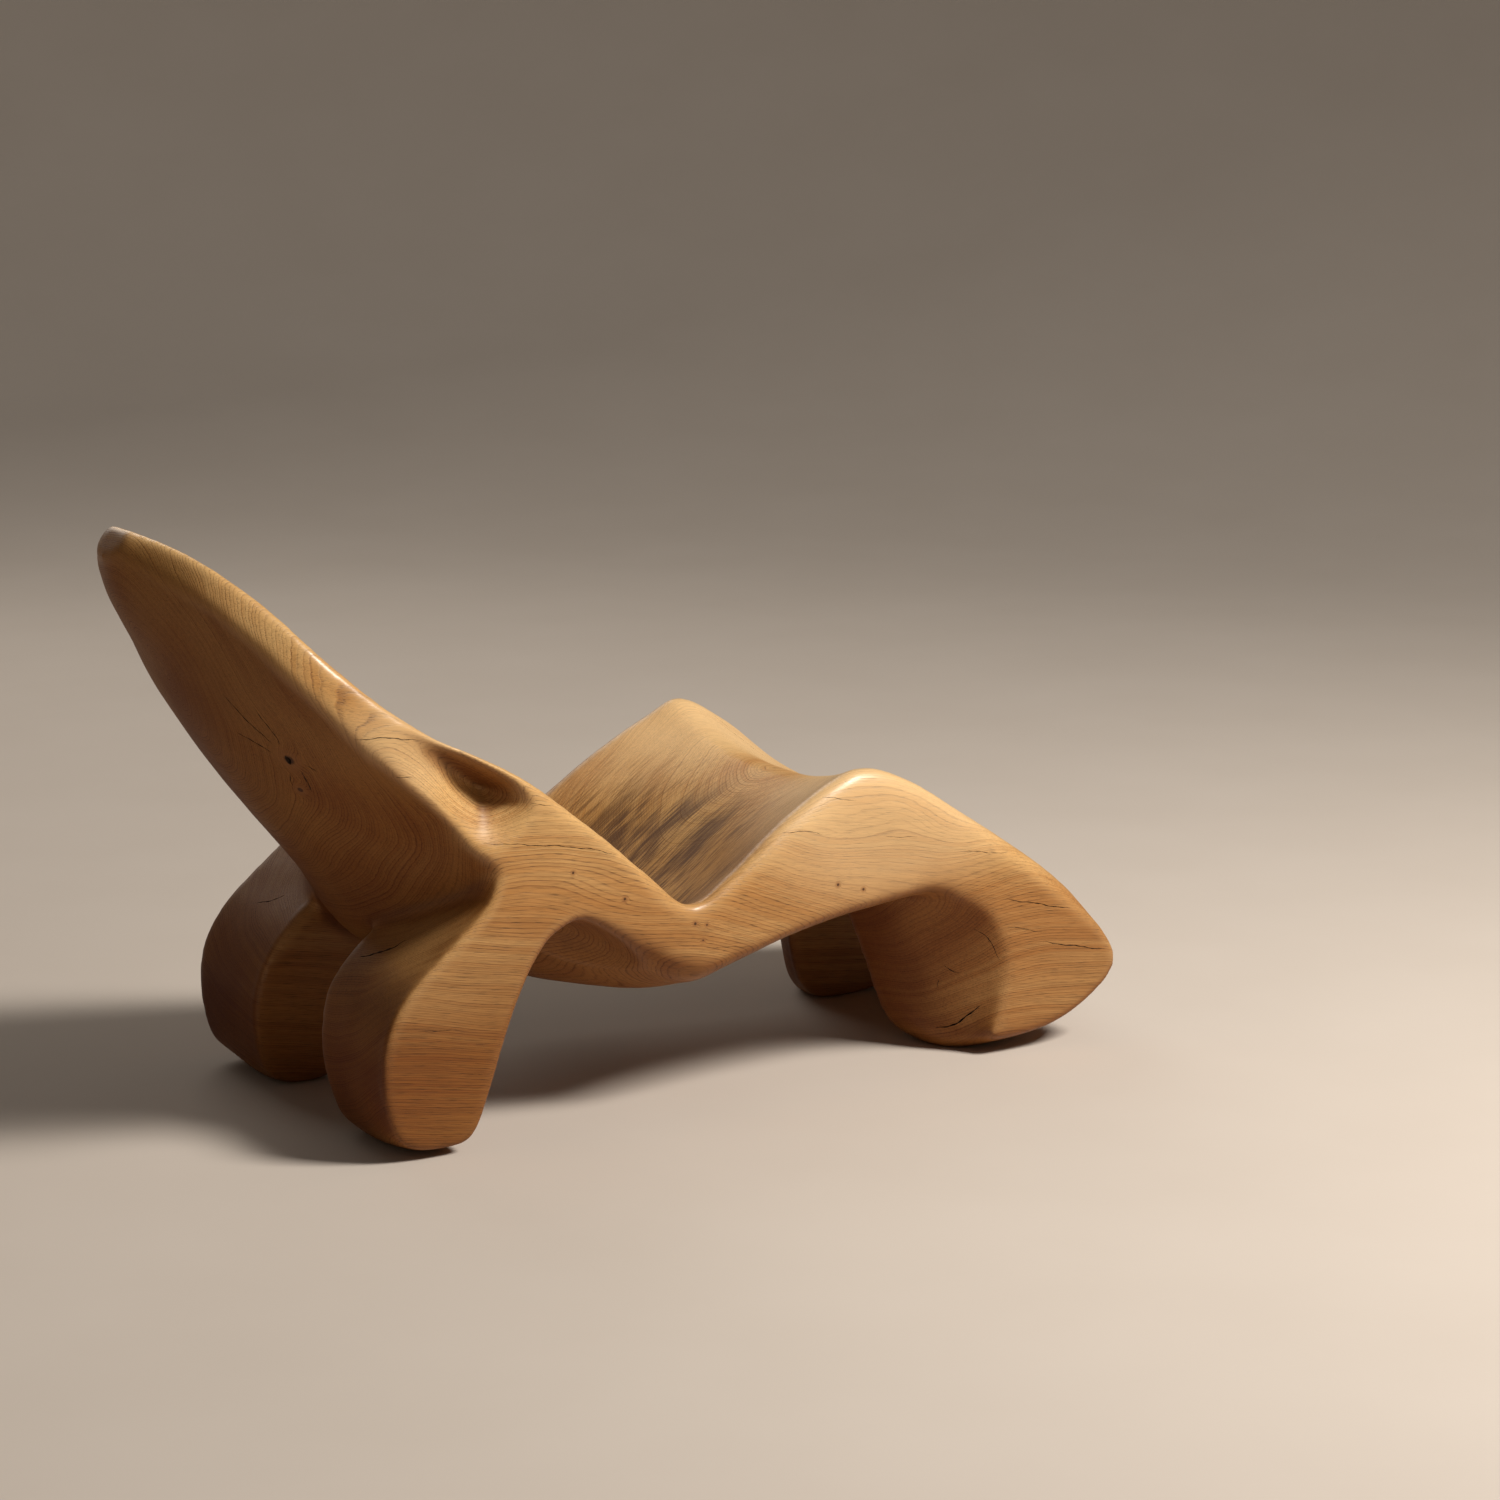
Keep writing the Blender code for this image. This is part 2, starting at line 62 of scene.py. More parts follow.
# %% Stations of the body
# ridge x, ridge z, edge x, edge z, half width, hollow, swell, ridge radius, droop, edge radius, left lift
BODY = (
    (-0.666, 0.798, -0.686, 0.772, 0.034, 0.000, 0.010, 0.012, 1.0, 0.012, 0.000),
    (-0.636, 0.786, -0.660, 0.746, 0.100, 0.005, 0.032, 0.016, 1.0, 0.012, 0.000),
    (-0.600, 0.760, -0.630, 0.720, 0.165, 0.012, 0.048, 0.016, 1.0, 0.012, 0.000),
    (-0.552, 0.712, -0.586, 0.670, 0.220, 0.020, 0.060, 0.016, 1.0, 0.012, 0.000),
    (-0.514, 0.667, -0.550, 0.623, 0.257, 0.028, 0.072, 0.016, 1.0, 0.012, 0.000),
    (-0.466, 0.622, -0.504, 0.572, 0.276, 0.035, 0.085, 0.016, 1.0, 0.012, 0.000),
    (-0.418, 0.583, -0.460, 0.526, 0.284, 0.042, 0.096, 0.016, 1.0, 0.012, 0.000),
    (-0.364, 0.548, -0.412, 0.486, 0.285, 0.050, 0.110, 0.016, 1.0, 0.012, 0.000),
    (-0.300, 0.518, -0.350, 0.432, 0.285, 0.060, 0.130, 0.016, 1.0, 0.014, 0.000),
    (-0.238, 0.483, -0.286, 0.355, 0.285, 0.070, 0.145, 0.016, 1.0, 0.020, 0.000),
    (-0.137, 0.406, -0.172, 0.272, 0.285, 0.076, 0.095, 0.016, 1.2, 0.036, 0.000),
    (-0.070, 0.348, -0.088, 0.222, 0.284, 0.080, 0.080, 0.016, 1.4, 0.040, 0.000),
    (-0.003, 0.294, 0.002, 0.180, 0.283, 0.080, 0.058, 0.018, 1.4, 0.034, 0.000),
    (0.065, 0.327, 0.060, 0.192, 0.280, 0.078, 0.064, 0.022, 1.6, 0.022, 0.000),
    (0.151, 0.389, 0.155, 0.218, 0.276, 0.072, 0.048, 0.026, 2.0, 0.016, 0.000),
    (0.240, 0.434, 0.245, 0.234, 0.270, 0.062, 0.034, 0.026, 2.3, 0.016, 0.006),
    (0.292, 0.442, 0.300, 0.240, 0.268, 0.054, 0.028, 0.026, 2.5, 0.016, 0.018),
    (0.360, 0.417, 0.360, 0.245, 0.268, 0.060, 0.020, 0.024, 2.4, 0.016, 0.006),
    (0.452, 0.358, 0.446, 0.236, 0.266, 0.056, 0.000, 0.022, 2.0, 0.016, -0.010),
    (0.555, 0.287, 0.540, 0.196, 0.263, 0.036, -0.010, 0.022, 1.4, 0.018, -0.004),
    (0.628, 0.226, 0.606, 0.146, 0.259, 0.022, -0.016, 0.020, 1.2, 0.020, 0.000),
    (0.676, 0.173, 0.660, 0.108, 0.252, 0.008, -0.012, 0.018, 1.0, 0.020, 0.000),
    (0.700, 0.136, 0.696, 0.106, 0.240, 0.000, -0.006, 0.014, 1.0, 0.014, 0.000),
)
HOLLOW_POWER = 2.5
SWELL_POWER = 1.4
ROUNDING_LIMIT = 0.49
BODY_STEPS = 8
POINTS_ACROSS = 65


def smooth_through(points, steps, closed=False):
    """A smooth curve through points of any size, as rows.

    Each span between two points is a cubic whose slope at a point is half the way from the point
    before it to the point after it.
    """
    points = np.asarray(points, float)
    head, tail = (points[-1:], points[:2]) if closed else (points[:1], points[-1:])
    row = np.concatenate([head, points, tail])
    before, start, end, after = row[:-3, None], row[1:-2, None], row[2:-1, None], row[3:, None]
    t = (np.arange(steps) / steps)[None, :, None]
    bend = 2 * before - 5 * start + 4 * end - after
    twist = 3 * (start - end) + after - before
    curve = start + t * (end - before) / 2 + t**2 * bend / 2 + t**3 * twist / 2
    curve = curve.reshape(-1, points.shape[1])
    return curve if closed else np.concatenate([curve, points[-1:]])


def rounded(across, half_width, radius):
    """How far a round edge drops below its corner: zero inside, then a quarter circle of that radius."""
    into_corner = np.clip((np.abs(across) - half_width + radius) / radius, 0, 1)
    return radius * (1 - np.sqrt(1 - into_corner**2))


def body_surface():
    """The body as a grid: (section from head to foot, point round the section, xyz).

    With u from -1 to 1 across the width, the upper face lies at thickness - hollow * (1 - |u|^power) above
    the lower edge, and the lower face at -swell * (1 - u^2)^power, both less their round edges. On the
    left the upper face is lifted by lift * u^power.
    """
    columns = np.moveaxis(smooth_through(BODY, BODY_STEPS)[:, :, None], 1, 0)
    ridge_x, ridge_z, edge_x, edge_z, width, hollow, swell, ridge_r, droop, edge_r, lift = columns
    rise_x, rise_z = ridge_x - edge_x, ridge_z - edge_z
    thickness = np.hypot(rise_x, rise_z)
    limit = ROUNDING_LIMIT * np.minimum(thickness, 2 * width)
    u = np.sin(np.linspace(-np.pi / 2, np.pi / 2, POINTS_ACROSS))[None, :]
    across = u * width
    upper = thickness - hollow * (1 - np.abs(u) ** HOLLOW_POWER) + lift * np.clip(u, 0, 1) ** HOLLOW_POWER
    upper = upper - droop * rounded(across, width, np.minimum(ridge_r, limit))
    lower = rounded(across, width, np.minimum(edge_r, limit)) - swell * (1 - u**2) ** SWELL_POWER
    height = np.concatenate([lower, upper[:, ::-1]], axis=1) / thickness
    y = np.concatenate([across, across[:, ::-1]], axis=1)
    return np.stack([edge_x + rise_x * height, y, edge_z + rise_z * height], axis=-1)


def ring_faces(rings, points):
    """Quads between neighbouring closed rings of a grid, and one face at each end."""
    ring, k = np.meshgrid(np.arange(rings - 1), np.arange(points), indexing="ij")
    beside = (k + 1) % points
    quads = np.stack([ring * points + k, ring * points + beside,
                      (ring + 1) * points + beside, (ring + 1) * points + k], axis=-1)
    ends = [list(range(points))[::-1], list(range((rings - 1) * points, rings * points))]
    return quads.reshape(-1, 4).tolist() + ends


def closed_mesh(grids, name):
    """One mesh of closed lofts, each a grid of rings with capped ends, its faces pointing outwards."""
    mesh = bpy.data.meshes.new(name)
    corners, faces = [], []
    for grid in grids:
        first = len(corners)
        corners += grid.reshape(-1, 3).tolist()
        faces += [[first + c for c in face] for face in ring_faces(*grid.shape[:2])]
    mesh.from_pydata(corners, [], faces)
    form = bmesh.new()
    form.from_mesh(mesh)
    bmesh.ops.recalc_face_normals(form, faces=form.faces)
    form.to_mesh(mesh)
    form.free()
    return mesh


body_grid = body_surface()
print("body", body_grid.shape, "sections by points")

# %% [markdown]
# ## Legs
#
# Each leg is a slab with its own side view that grows out of the body's side. Three outlines, at the inner
# face, in the middle and at the outer face, are enough. The rear legs keep one outline. The outer face of a
# front leg is cut back behind in a round sweep, which leaves the broad slanting face that shows from behind.

# %% Leg outlines
REAR_LEG = (
    (-0.130, 0.304), (-0.138, 0.291), (-0.180, 0.284), (-0.214, 0.266), (-0.238, 0.234), (-0.260, 0.190),
    (-0.277, 0.148), (-0.302, 0.078), (-0.324, 0.020), (-0.346, 0.000), (-0.396, 0.000), (-0.432, 0.024),
    (-0.450, 0.076), (-0.454, 0.130), (-0.442, 0.182), (-0.412, 0.226), (-0.362, 0.270), (-0.306, 0.320),
    (-0.280, 0.366), (-0.230, 0.352), (-0.170, 0.322),
)
FRONT_LEG = (
    (0.330, 0.280), (0.346, 0.220), (0.366, 0.170), (0.382, 0.120), (0.396, 0.070), (0.416, 0.028),
    (0.446, 0.004), (0.470, 0.000), (0.520, 0.000), (0.575, 0.014), (0.640, 0.052), (0.690, 0.094),
    (0.692, 0.118), (0.654, 0.150), (0.585, 0.194), (0.475, 0.256),
)
FRONT_LEG_MIDDLE = (
    (0.350, 0.280), (0.376, 0.226), (0.400, 0.176), (0.420, 0.126), (0.430, 0.076), (0.438, 0.034),
    (0.456, 0.006), (0.476, 0.000), (0.520, 0.000), (0.575, 0.014), (0.640, 0.052), (0.690, 0.094),
    (0.696, 0.128), (0.660, 0.178), (0.590, 0.230), (0.480, 0.300),
)
FRONT_LEG_OUTER = (
    (0.390, 0.268), (0.432, 0.234), (0.478, 0.211), (0.503, 0.174), (0.512, 0.130), (0.505, 0.086),
    (0.497, 0.048), (0.486, 0.022), (0.510, 0.006), (0.575, 0.016), (0.640, 0.052), (0.690, 0.094),
    (0.696, 0.128), (0.660, 0.178), (0.590, 0.230), (0.480, 0.300),
)
REAR_LEG_SECTIONS = ((0.085, REAR_LEG, 0.006), (0.180, REAR_LEG, 0.000), (0.285, REAR_LEG, 0.016))
FRONT_LEG_SECTIONS = (
    (0.085, FRONT_LEG, 0.002), (0.190, FRONT_LEG_MIDDLE, 0.000), (0.268, FRONT_LEG_OUTER, 0.024),
)
FOOT_ROUNDING_HEIGHT = 0.080
INNER_SPLAY = 0.030
INNER_SPLAY_HEIGHT = 0.200
OUTLINE_STEPS = 6
LEG_SECTION_STEPS = 6
LEFT, RIGHT = 1, -1


def leg_surface(sections, side):
    """A leg as a grid: (section across the width, point of its outline, xyz).

    Near the floor the foot's edge is lifted by lift * (1 - z / height)^2, and the inner face leans
    outwards by splay * (1 - z / height).
    """
    rings = []
    for number, (y, outline, lift) in enumerate(sections):
        x, z = smooth_through(outline, OUTLINE_STEPS, closed=True).T
        near_floor = np.clip(1 - z / FOOT_ROUNDING_HEIGHT, 0, None)
        lean = INNER_SPLAY * np.clip(1 - z / INNER_SPLAY_HEIGHT, 0, None) * (number == 0)
        rings.append(np.stack([x, side * (y + lean), z + lift * near_floor**2], axis=-1))
    rows = smooth_through([ring.ravel() for ring in rings], LEG_SECTION_STEPS)
    return rows.reshape(len(rows), -1, 3)


LEG_KINDS = (REAR_LEG_SECTIONS, FRONT_LEG_SECTIONS)
leg_grids = [leg_surface(sections, side) for sections in LEG_KINDS for side in (LEFT, RIGHT)]
print("legs", [grid.shape for grid in leg_grids])

# %% [markdown]
# ## Coves
#
# Between each rear leg and the belly the flank is cut away in an arch, deep beside the leg and fading out
# toward the seat valley. A long egg, laid along the belly, leaves that shape when it is taken away from the
# body with a Boolean. The leg is added after that, so its edge stays crisp in front of the hollow.

# %% Coves
COVE_MIDDLE = (-0.150, 0.300, 0.208)
COVE_HALF_SIZES = (0.128, 0.110, 0.062)
COVE_SLOPE = np.radians(28)
COVE_INWARD_TURN = np.radians(-4)
COVE_FULLNESS = -0.20
COVE_TIP = 0.02
COVE_RINGS = 28
COVE_POINTS = 40


def cove_surface(side):
    """An egg as rings round its long axis, turned inwards and then laid along the belly.

    At the angle a along it, the egg is cos(a) long and sin(a) * (1 + fullness * cos(a)) thick.
    """
    along = np.linspace(COVE_TIP, np.pi - COVE_TIP, COVE_RINGS)[:, None]
    around = np.linspace(0, 2 * np.pi, COVE_POINTS, endpoint=False)[None, :]
    thick = np.sin(along) * (1 + COVE_FULLNESS * np.cos(along))
    egg = np.broadcast_arrays(np.cos(along), thick * np.cos(around), thick * np.sin(around))
    turn = Matrix.Rotation(COVE_SLOPE, 3, "Y") @ Matrix.Rotation(-side * COVE_INWARD_TURN, 3, "Z")
    x, y, z = COVE_MIDDLE
    return (np.stack(egg, axis=-1) * COVE_HALF_SIZES) @ np.array(turn).T + (x, side * y, z)


def scratch_object(mesh, name):
    """An object to work with that isn't part of the chaise."""
    obj = bpy.data.objects.new(name, mesh)
    bpy.context.scene.collection.objects.link(obj)
    return obj


def evaluated_mesh(obj):
    """The object's mesh with its modifiers, as a mesh of its own."""
    graph = bpy.context.evaluated_depsgraph_get()
    return bpy.data.meshes.new_from_object(obj.evaluated_get(graph), depsgraph=graph)


def without(obj, cutter):
    """The object's mesh after a Boolean takes the cutter away from it."""
    modifier = obj.modifiers.new("cut", "BOOLEAN")
    modifier.operation = "DIFFERENCE"
    modifier.object = cutter
    modifier.solver = "EXACT"
    mesh = evaluated_mesh(obj)
    obj.modifiers.remove(modifier)
    return mesh


body = scratch_object(closed_mesh([body_grid], "body"), "body")
coves = scratch_object(closed_mesh([cove_surface(side) for side in (LEFT, RIGHT)], "coves"), "coves")
body_mesh = without(body, coves)
print("body with coves", len(body_mesh.polygons), "faces")

# %% [markdown]
# ## One carved surface
#
# The body and the legs are merged on a fine grid, and then rounded over the way sandpaper does it. Every
# pass moves a point toward the mean of its neighbours. Hollow places, where a leg grows out of the body, take
# more passes than the ridges, so the ridges stay crisp while the hollows flow. Under each arm's ridge lies a
# scoop like the mark of a large thumb, deepest close below the ridge. A formula presses it into the flank.

# %% Merging and rounding
CARVING_GRID = 0.004
FIRST_PASSES = 13
HOLLOW_PASSES = 40
LAST_PASSES = 4
HOLLOW_BEND = 3.0
PASS_SHARE = 0.5
# middle, reach and passes of the places that are rubbed softer: each front leg's heel, and the arch above it
SOFT_PLACES = (
    ((0.490, 0.268, 0.100), (0.140, 0.120, 0.190), 16),
    ((0.425, 0.266, 0.243), (0.080, 0.060, 0.060), 40),
)
# side view of the deepest place of a scoop, its slope, and its reach up and down the ridge, below and above
SCOOP_DEEPEST = (-0.286, 0.467)
SCOOP_SLOPE = np.radians(33.5)
SCOOP_REACH = (0.175, 0.060, 0.086, 0.026)
SCOOP_DEPTH = 0.056
SCOOP_POWER = 1.5
FLANK_Y = (0.200, 0.250)


def edge_means(values, edges):
    """For each point, the mean of its neighbours' values along the mesh's edges."""
    a, b = edges.T
    size = len(values)
    count = np.bincount(edges.ravel(), minlength=size)
    sums = [np.bincount(a, column[b], size) + np.bincount(b, column[a], size) for column in values.T]
    return np.stack(sums, axis=-1) / count[:, None]


def relaxed(values, edges, share, passes):
    """Values after some passes, each of which moves them that share of the way to their neighbours' mean."""
    for _ in range(passes):
        values = values + share * (edge_means(values, edges) - values)
    return values


def read(collection, name, columns, kind=float):
    """One property of every point, edge or face of a mesh, as rows."""
    values = np.empty(len(collection) * columns, kind)
    collection.foreach_get(name, values)
    return values.reshape(-1, columns)


def points_of(mesh):
    """The places of a mesh's points."""
    return read(mesh.vertices, "co", 3)


def normals_of(mesh):
    """The directions that a mesh's points face."""
    return read(mesh.vertices, "normal", 3)


def edges_of(mesh):
    """The two points of each of a mesh's edges."""
    return read(mesh.edges, "vertices", 2, np.int32)


def set_points(mesh, points):
    """Move a mesh's points."""
    mesh.vertices.foreach_set("co", points.ravel())
    mesh.update()


def hollowness(mesh):
    """How hollow the surface is at each point, in 1/m: the sum of its two curvatures, less than 0 on ridges.

    On an even grid with steps of h the neighbours' mean lies h^2 / 4 times that sum along the normal.
    """
    points, edges = points_of(mesh), edges_of(mesh)
    toward = np.sum((edge_means(points, edges) - points) * normals_of(mesh), axis=1)
    step = np.linalg.norm(points[edges[:, 0]] - points[edges[:, 1]], axis=1).mean()
    return 4 * toward[:, None] / step**2


def near(points, middle, reach):
    """1 near a place on either side and 0 beyond its reach, falling off over the outer half."""
    away = np.linalg.norm((points * (1, 0, 1) + np.abs(points) * (0, 1, 0) - middle) / reach, axis=1)
    return np.clip(2 - 2 * away, 0, 1)[:, None]


def scooped(points, normals):
    """Points of both flanks, pressed inwards by the scoop.

    With a and b the ways along the ridge and across it from the deepest place, each as a share of the reach
    on its side, the depth is the deepest one times (1 - sqrt(a^2 + b^2)) to a power.
    """
    x, y, z = points.T
    x, z = x - SCOOP_DEEPEST[0], z - SCOOP_DEEPEST[1]
    along = x * np.cos(SCOOP_SLOPE) - z * np.sin(SCOOP_SLOPE)
    across = x * np.sin(SCOOP_SLOPE) + z * np.cos(SCOOP_SLOPE)
    back, front, below, above = SCOOP_REACH
    a = along / np.where(along > 0, front, back)
    b = across / np.where(across > 0, above, below)
    outer = np.clip((np.abs(y) - FLANK_Y[0]) / (FLANK_Y[1] - FLANK_Y[0]), 0, 1)
    outer = outer * np.clip(2 * normals[:, 1] * np.sign(y), 0, 1)
    depth = SCOOP_DEPTH * np.clip(1 - np.hypot(a, b), 0, 1) ** SCOOP_POWER * outer
    return points - depth[:, None] * np.sign(y)[:, None] * (0, 1, 0)


def mesh_of(form, name):
    """A mesh from a form that is being edited, which is closed after that."""
    mesh = bpy.data.meshes.new(name)
    form.to_mesh(mesh)
    form.free()
    return mesh


def joined(meshes, name):
    """Several meshes as one."""
    form = bmesh.new()
    for mesh in meshes:
        form.from_mesh(mesh)
    return mesh_of(form, name)


def merged_carving():
    """Body and legs as one closed mesh, rounded over."""
    rough = joined((body_mesh, closed_mesh(leg_grids, "legs")), "rough carving")
    obj = scratch_object(rough, "rough_carving")
    merge = obj.modifiers.new("merge", "REMESH")
    merge.mode = "VOXEL"
    merge.voxel_size = CARVING_GRID
    mesh = evaluated_mesh(obj)
    bpy.data.objects.remove(obj)
    edges = edges_of(mesh)
    set_points(mesh, relaxed(points_of(mesh), edges, PASS_SHARE, FIRST_PASSES))
    hollow = relaxed(np.clip(hollowness(mesh) / HOLLOW_BEND, 0, 1), edges, PASS_SHARE, FIRST_PASSES)
    points = relaxed(points_of(mesh), edges, PASS_SHARE * np.clip(2 * hollow, 0, 1), HOLLOW_PASSES)
    for middle, reach, passes in SOFT_PLACES:
        points = relaxed(points, edges, PASS_SHARE * near(points, middle, reach), passes)
    set_points(mesh, points)
    set_points(mesh, scooped(points, normals_of(mesh)))
    set_points(mesh, relaxed(points_of(mesh), edges, PASS_SHARE, LAST_PASSES))
    return mesh


carving = merged_carving()
for obj in (body, coves):
    bpy.data.objects.remove(obj)
print("carving", len(carving.vertices), "points")

# %% [markdown]
# ## Made by hand
#
# A gouge and a scraper never leave a surface quite even, and the highlights show it. So every point moves
# along its normal by a fraction of a millimetre, with a smooth random pattern. The carving is then shifted to
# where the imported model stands. One of its tenons, whose place we know, tells how far.

# %% Hand-worked surface
# size and height of the broad and of the fine waves
WAVES = ((0.075, 0.0010), (0.028, 0.0003))
KNEE_JOINT_X = 0.100
BODY_TENON_Y = 0.130
KNEE_TENON_Z = 0.228
LATTICE = 32


def lattice_noise(points, size, seed):
    """Smooth random values from -1 to 1 that change over about that size.

    Random numbers on the corners of a cubic lattice are blended with weights 3t^2 - 2t^3.
    """
    corners = np.random.default_rng(seed).uniform(-1, 1, (LATTICE, LATTICE, LATTICE))
    low = np.floor(points / size).astype(int)
    t = points / size - low
    t = t * t * (3 - 2 * t)
    total = np.zeros(len(points))
    for corner in np.ndindex(2, 2, 2):
        i, j, k = ((low + corner) % LATTICE).T
        total += corners[i, j, k] * np.prod(np.where(corner, t, 1 - t), axis=1)
    return total


tenon_low, tenon_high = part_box("knee_tenon_left")
shift = (np.array(tenon_low) + np.array(tenon_high)) / 2 - (KNEE_JOINT_X, BODY_TENON_Y, KNEE_TENON_Z)
surface = points_of(carving)
waves = sum(height * lattice_noise(surface, size, seed) for seed, (size, height) in enumerate(WAVES))
set_points(carving, surface + waves[:, None] * normals_of(carving) + shift)
print("shifted by", np.round(shift, 4))

# %% [markdown]
# ## Where it is worn, and where light and shade are painted
#
# Hands polish the ridges, and the hollows are darkened with painted shade. The shape itself says where: the
# curvature of each point, smoothed a little, becomes two masks that the material reads. The other masks follow
# the use, the wood and the light: the seat, where the oak has stained, the knee rest, paler partly from
# bleaching and partly with a painted highlight, each arm, paler with a painted highlight, the faces that cut
# across the grain, and the undersides and legs, which are dull and darkened with painted shade, most low down
# and on the rear legs.

# %% Masks for the finish, and for painted light and shade
GRAIN_SLOPE = -0.15
GRAIN = np.array((1.0, 0.0, GRAIN_SLOPE)) / np.hypot(1.0, GRAIN_SLOPE)
RIDGE_BENDS = (6.0, 42.0)
HOLLOW_BENDS = (5.0, 34.0)
MASK_PASSES = 10
STAIN_MIDDLE = (0.085, 0.0, 0.275)
STAIN_REACH = (0.260, 0.360, 0.190)
STAIN_FADE = (0.35, 1.0)
STAINED_TILT = (0.2, 0.6)
ACROSS_GRAIN = (0.55, 0.95)
# tilt of the undersides, and heights, reach and share of the legs: where painted shade falls on undersides and
# legs, darker low down and most on the rear legs
UNDER_TILT = (-0.2, 0.7)
LEG_HEIGHTS = (0.06, 0.40)
REAR_REACH = (0.10, 0.25)
FRONT_LEG_SHARE = 0.55
LEG_DULLNESS = 0.7
# middle, reach and strength of the paler places: the knee rest, partly bleached by hands and partly a painted
# highlight, and each arm, a painted highlight
BLEACH_AND_HIGHLIGHT_PLACES = (
    ((0.310, 0.260, 0.360), (0.250, 0.200, 0.140), 1.0),
    ((-0.415, 0.285, 0.540), (0.110, 0.070, 0.090), 0.7),
)


def ramp(values, low, high):
    """From 0 at low to 1 at high along a smooth step."""
    t = np.clip((values - low) / (high - low), 0, 1)
    return t * t * (3 - 2 * t)


def keep_on_corners(name, values, kind="FLOAT", field="value"):
    """Keep what each point of the carving has on its face corners, for the material."""
    corners = read(carving.loops, "vertex_index", 1, np.int32).ravel()
    layer = carving.attributes.new(name, kind, "CORNER")
    layer.data.foreach_set(field, values[corners].ravel().astype(np.float32))


surface, facing = points_of(carving), normals_of(carving)
x, _, z = surface.T
upward = facing[:, 2]
curve = relaxed(hollowness(carving), edges_of(carving), PASS_SHARE, MASK_PASSES).ravel()
from_stain = np.linalg.norm((surface - STAIN_MIDDLE) / STAIN_REACH, axis=1)
bleach_and_highlight = [share * near(surface, place, reach) for place, reach, share in BLEACH_AND_HIGHLIGHT_PLACES]
# painted shade on the legs: strongest low down and on the rear legs
toward_rear = FRONT_LEG_SHARE + (1 - FRONT_LEG_SHARE) * ramp(-x, *REAR_REACH)
leg = (1 - ramp(z, *LEG_HEIGHTS)) * toward_rear
masks = {
    # painted shade in the hollows: concave places are darkened
    "hollow_shade": ramp(curve, *HOLLOW_BENDS),
    "stain": (1 - ramp(from_stain, *STAIN_FADE)) * ramp(upward, *STAINED_TILT),
    # paler places: bleach on the knee rest, and a painted highlight there and on the arms
    "bleach_and_highlight": sum(bleach_and_highlight),
    "across": ramp(np.abs(facing @ GRAIN), *ACROSS_GRAIN),
    "worn": ramp(-curve, *RIDGE_BENDS) * (1 - LEG_DULLNESS * leg),
    # painted shade on undersides and legs; the same mask also makes them duller
    "under": np.clip(ramp(-upward, *UNDER_TILT) + leg, 0, 1),
}
for name, values in masks.items():
    keep_on_corners(name, values)
keep_on_corners("outward", facing, "FLOAT_VECTOR", "vector")
print("masks", {name: round(float(values.mean()), 3) for name, values in masks.items()})

# %% [markdown]
# ## Sawn into blocks
#
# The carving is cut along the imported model's glue faces, so that each visible block stands for its own node.
# The halves of a joint share one face without a gap, since a good glue line can't be seen. The feet are cut
# flat on the floor.

# %% Blocks
WAIST_POINT = np.array((-0.287, 0.0, 0.350)) + shift
WAIST_SLOPE = np.radians(40)
REAR_JOINT = np.array((-0.215, 0.0, 0.175)) + shift
FRONT_JOINT = np.array((0.340, 0.0, 0.199)) + shift
FRONT_JOINT_SLOPE = np.radians(-23.4)
KNEE_X = KNEE_JOINT_X + shift[0]
OUTSIDE, INSIDE, CHECK_WALL = 0, 1, 2


def face_normal(slope):
    """The normal of a glue face with that slope in side view."""
    return np.array((-np.sin(slope), 0.0, np.cos(slope)))


GLUE_FACES = (
    (WAIST_POINT, face_normal(WAIST_SLOPE)),
    ((KNEE_X, 0.0, 0.0), (1.0, 0.0, 0.0)),
    (REAR_JOINT, (0.0, 0.0, 1.0)),
    (FRONT_JOINT, face_normal(FRONT_JOINT_SLOPE)),
)


def saw(form, point, normal, drop_outer=False):
    """Put edges into a form along a plane, and drop what lies beyond it if so told."""
    everything = form.verts[:] + form.edges[:] + form.faces[:]
    bmesh.ops.bisect_plane(form, geom=everything, plane_co=point, plane_no=normal, clear_outer=drop_outer)


def close_holes(form):
    """Put a flat face into every open edge loop."""
    open_edges = [edge for edge in form.edges if edge.is_boundary]
    flats = bmesh.ops.holes_fill(form, edges=open_edges, sides=0)["faces"]
    for face in flats:
        face.material_index = INSIDE
    bmesh.ops.triangulate(form, faces=flats, ngon_method="EAR_CLIP")


def sawn_carving():
    """The carving with edges along all glue faces, and its feet cut flat."""
    form = bmesh.new()
    form.from_mesh(carving)
    saw(form, (0, 0, 0), (0, 0, -1), drop_outer=True)
    close_holes(form)
    for point, normal in GLUE_FACES:
        saw(form, point, normal)
    return mesh_of(form, "sawn carving")


def block_of_faces(mesh):
    """For each face of the sawn carving, the name of its block."""
    middle = read(mesh.polygons, "center", 3)
    x, y, z = middle.T
    side = np.where(y > 0, "left", "right")
    back = (middle - WAIST_POINT) @ face_normal(WAIST_SLOPE) > 0
    front_leg = (x > FRONT_JOINT[0]) & ((middle - FRONT_JOINT) @ face_normal(FRONT_JOINT_SLOPE) < 0)
    rear_leg = (x < REAR_JOINT[0]) & (z < REAR_JOINT[2]) & ~back
    names = np.where(back, "backrest", np.where(x > KNEE_X, "knee_rest", "seat")).astype(object)
    names[front_leg] = "front_leg_" + side[front_leg].astype(object)
    names[rear_leg] = "rear_leg_" + side[rear_leg].astype(object)
    return names


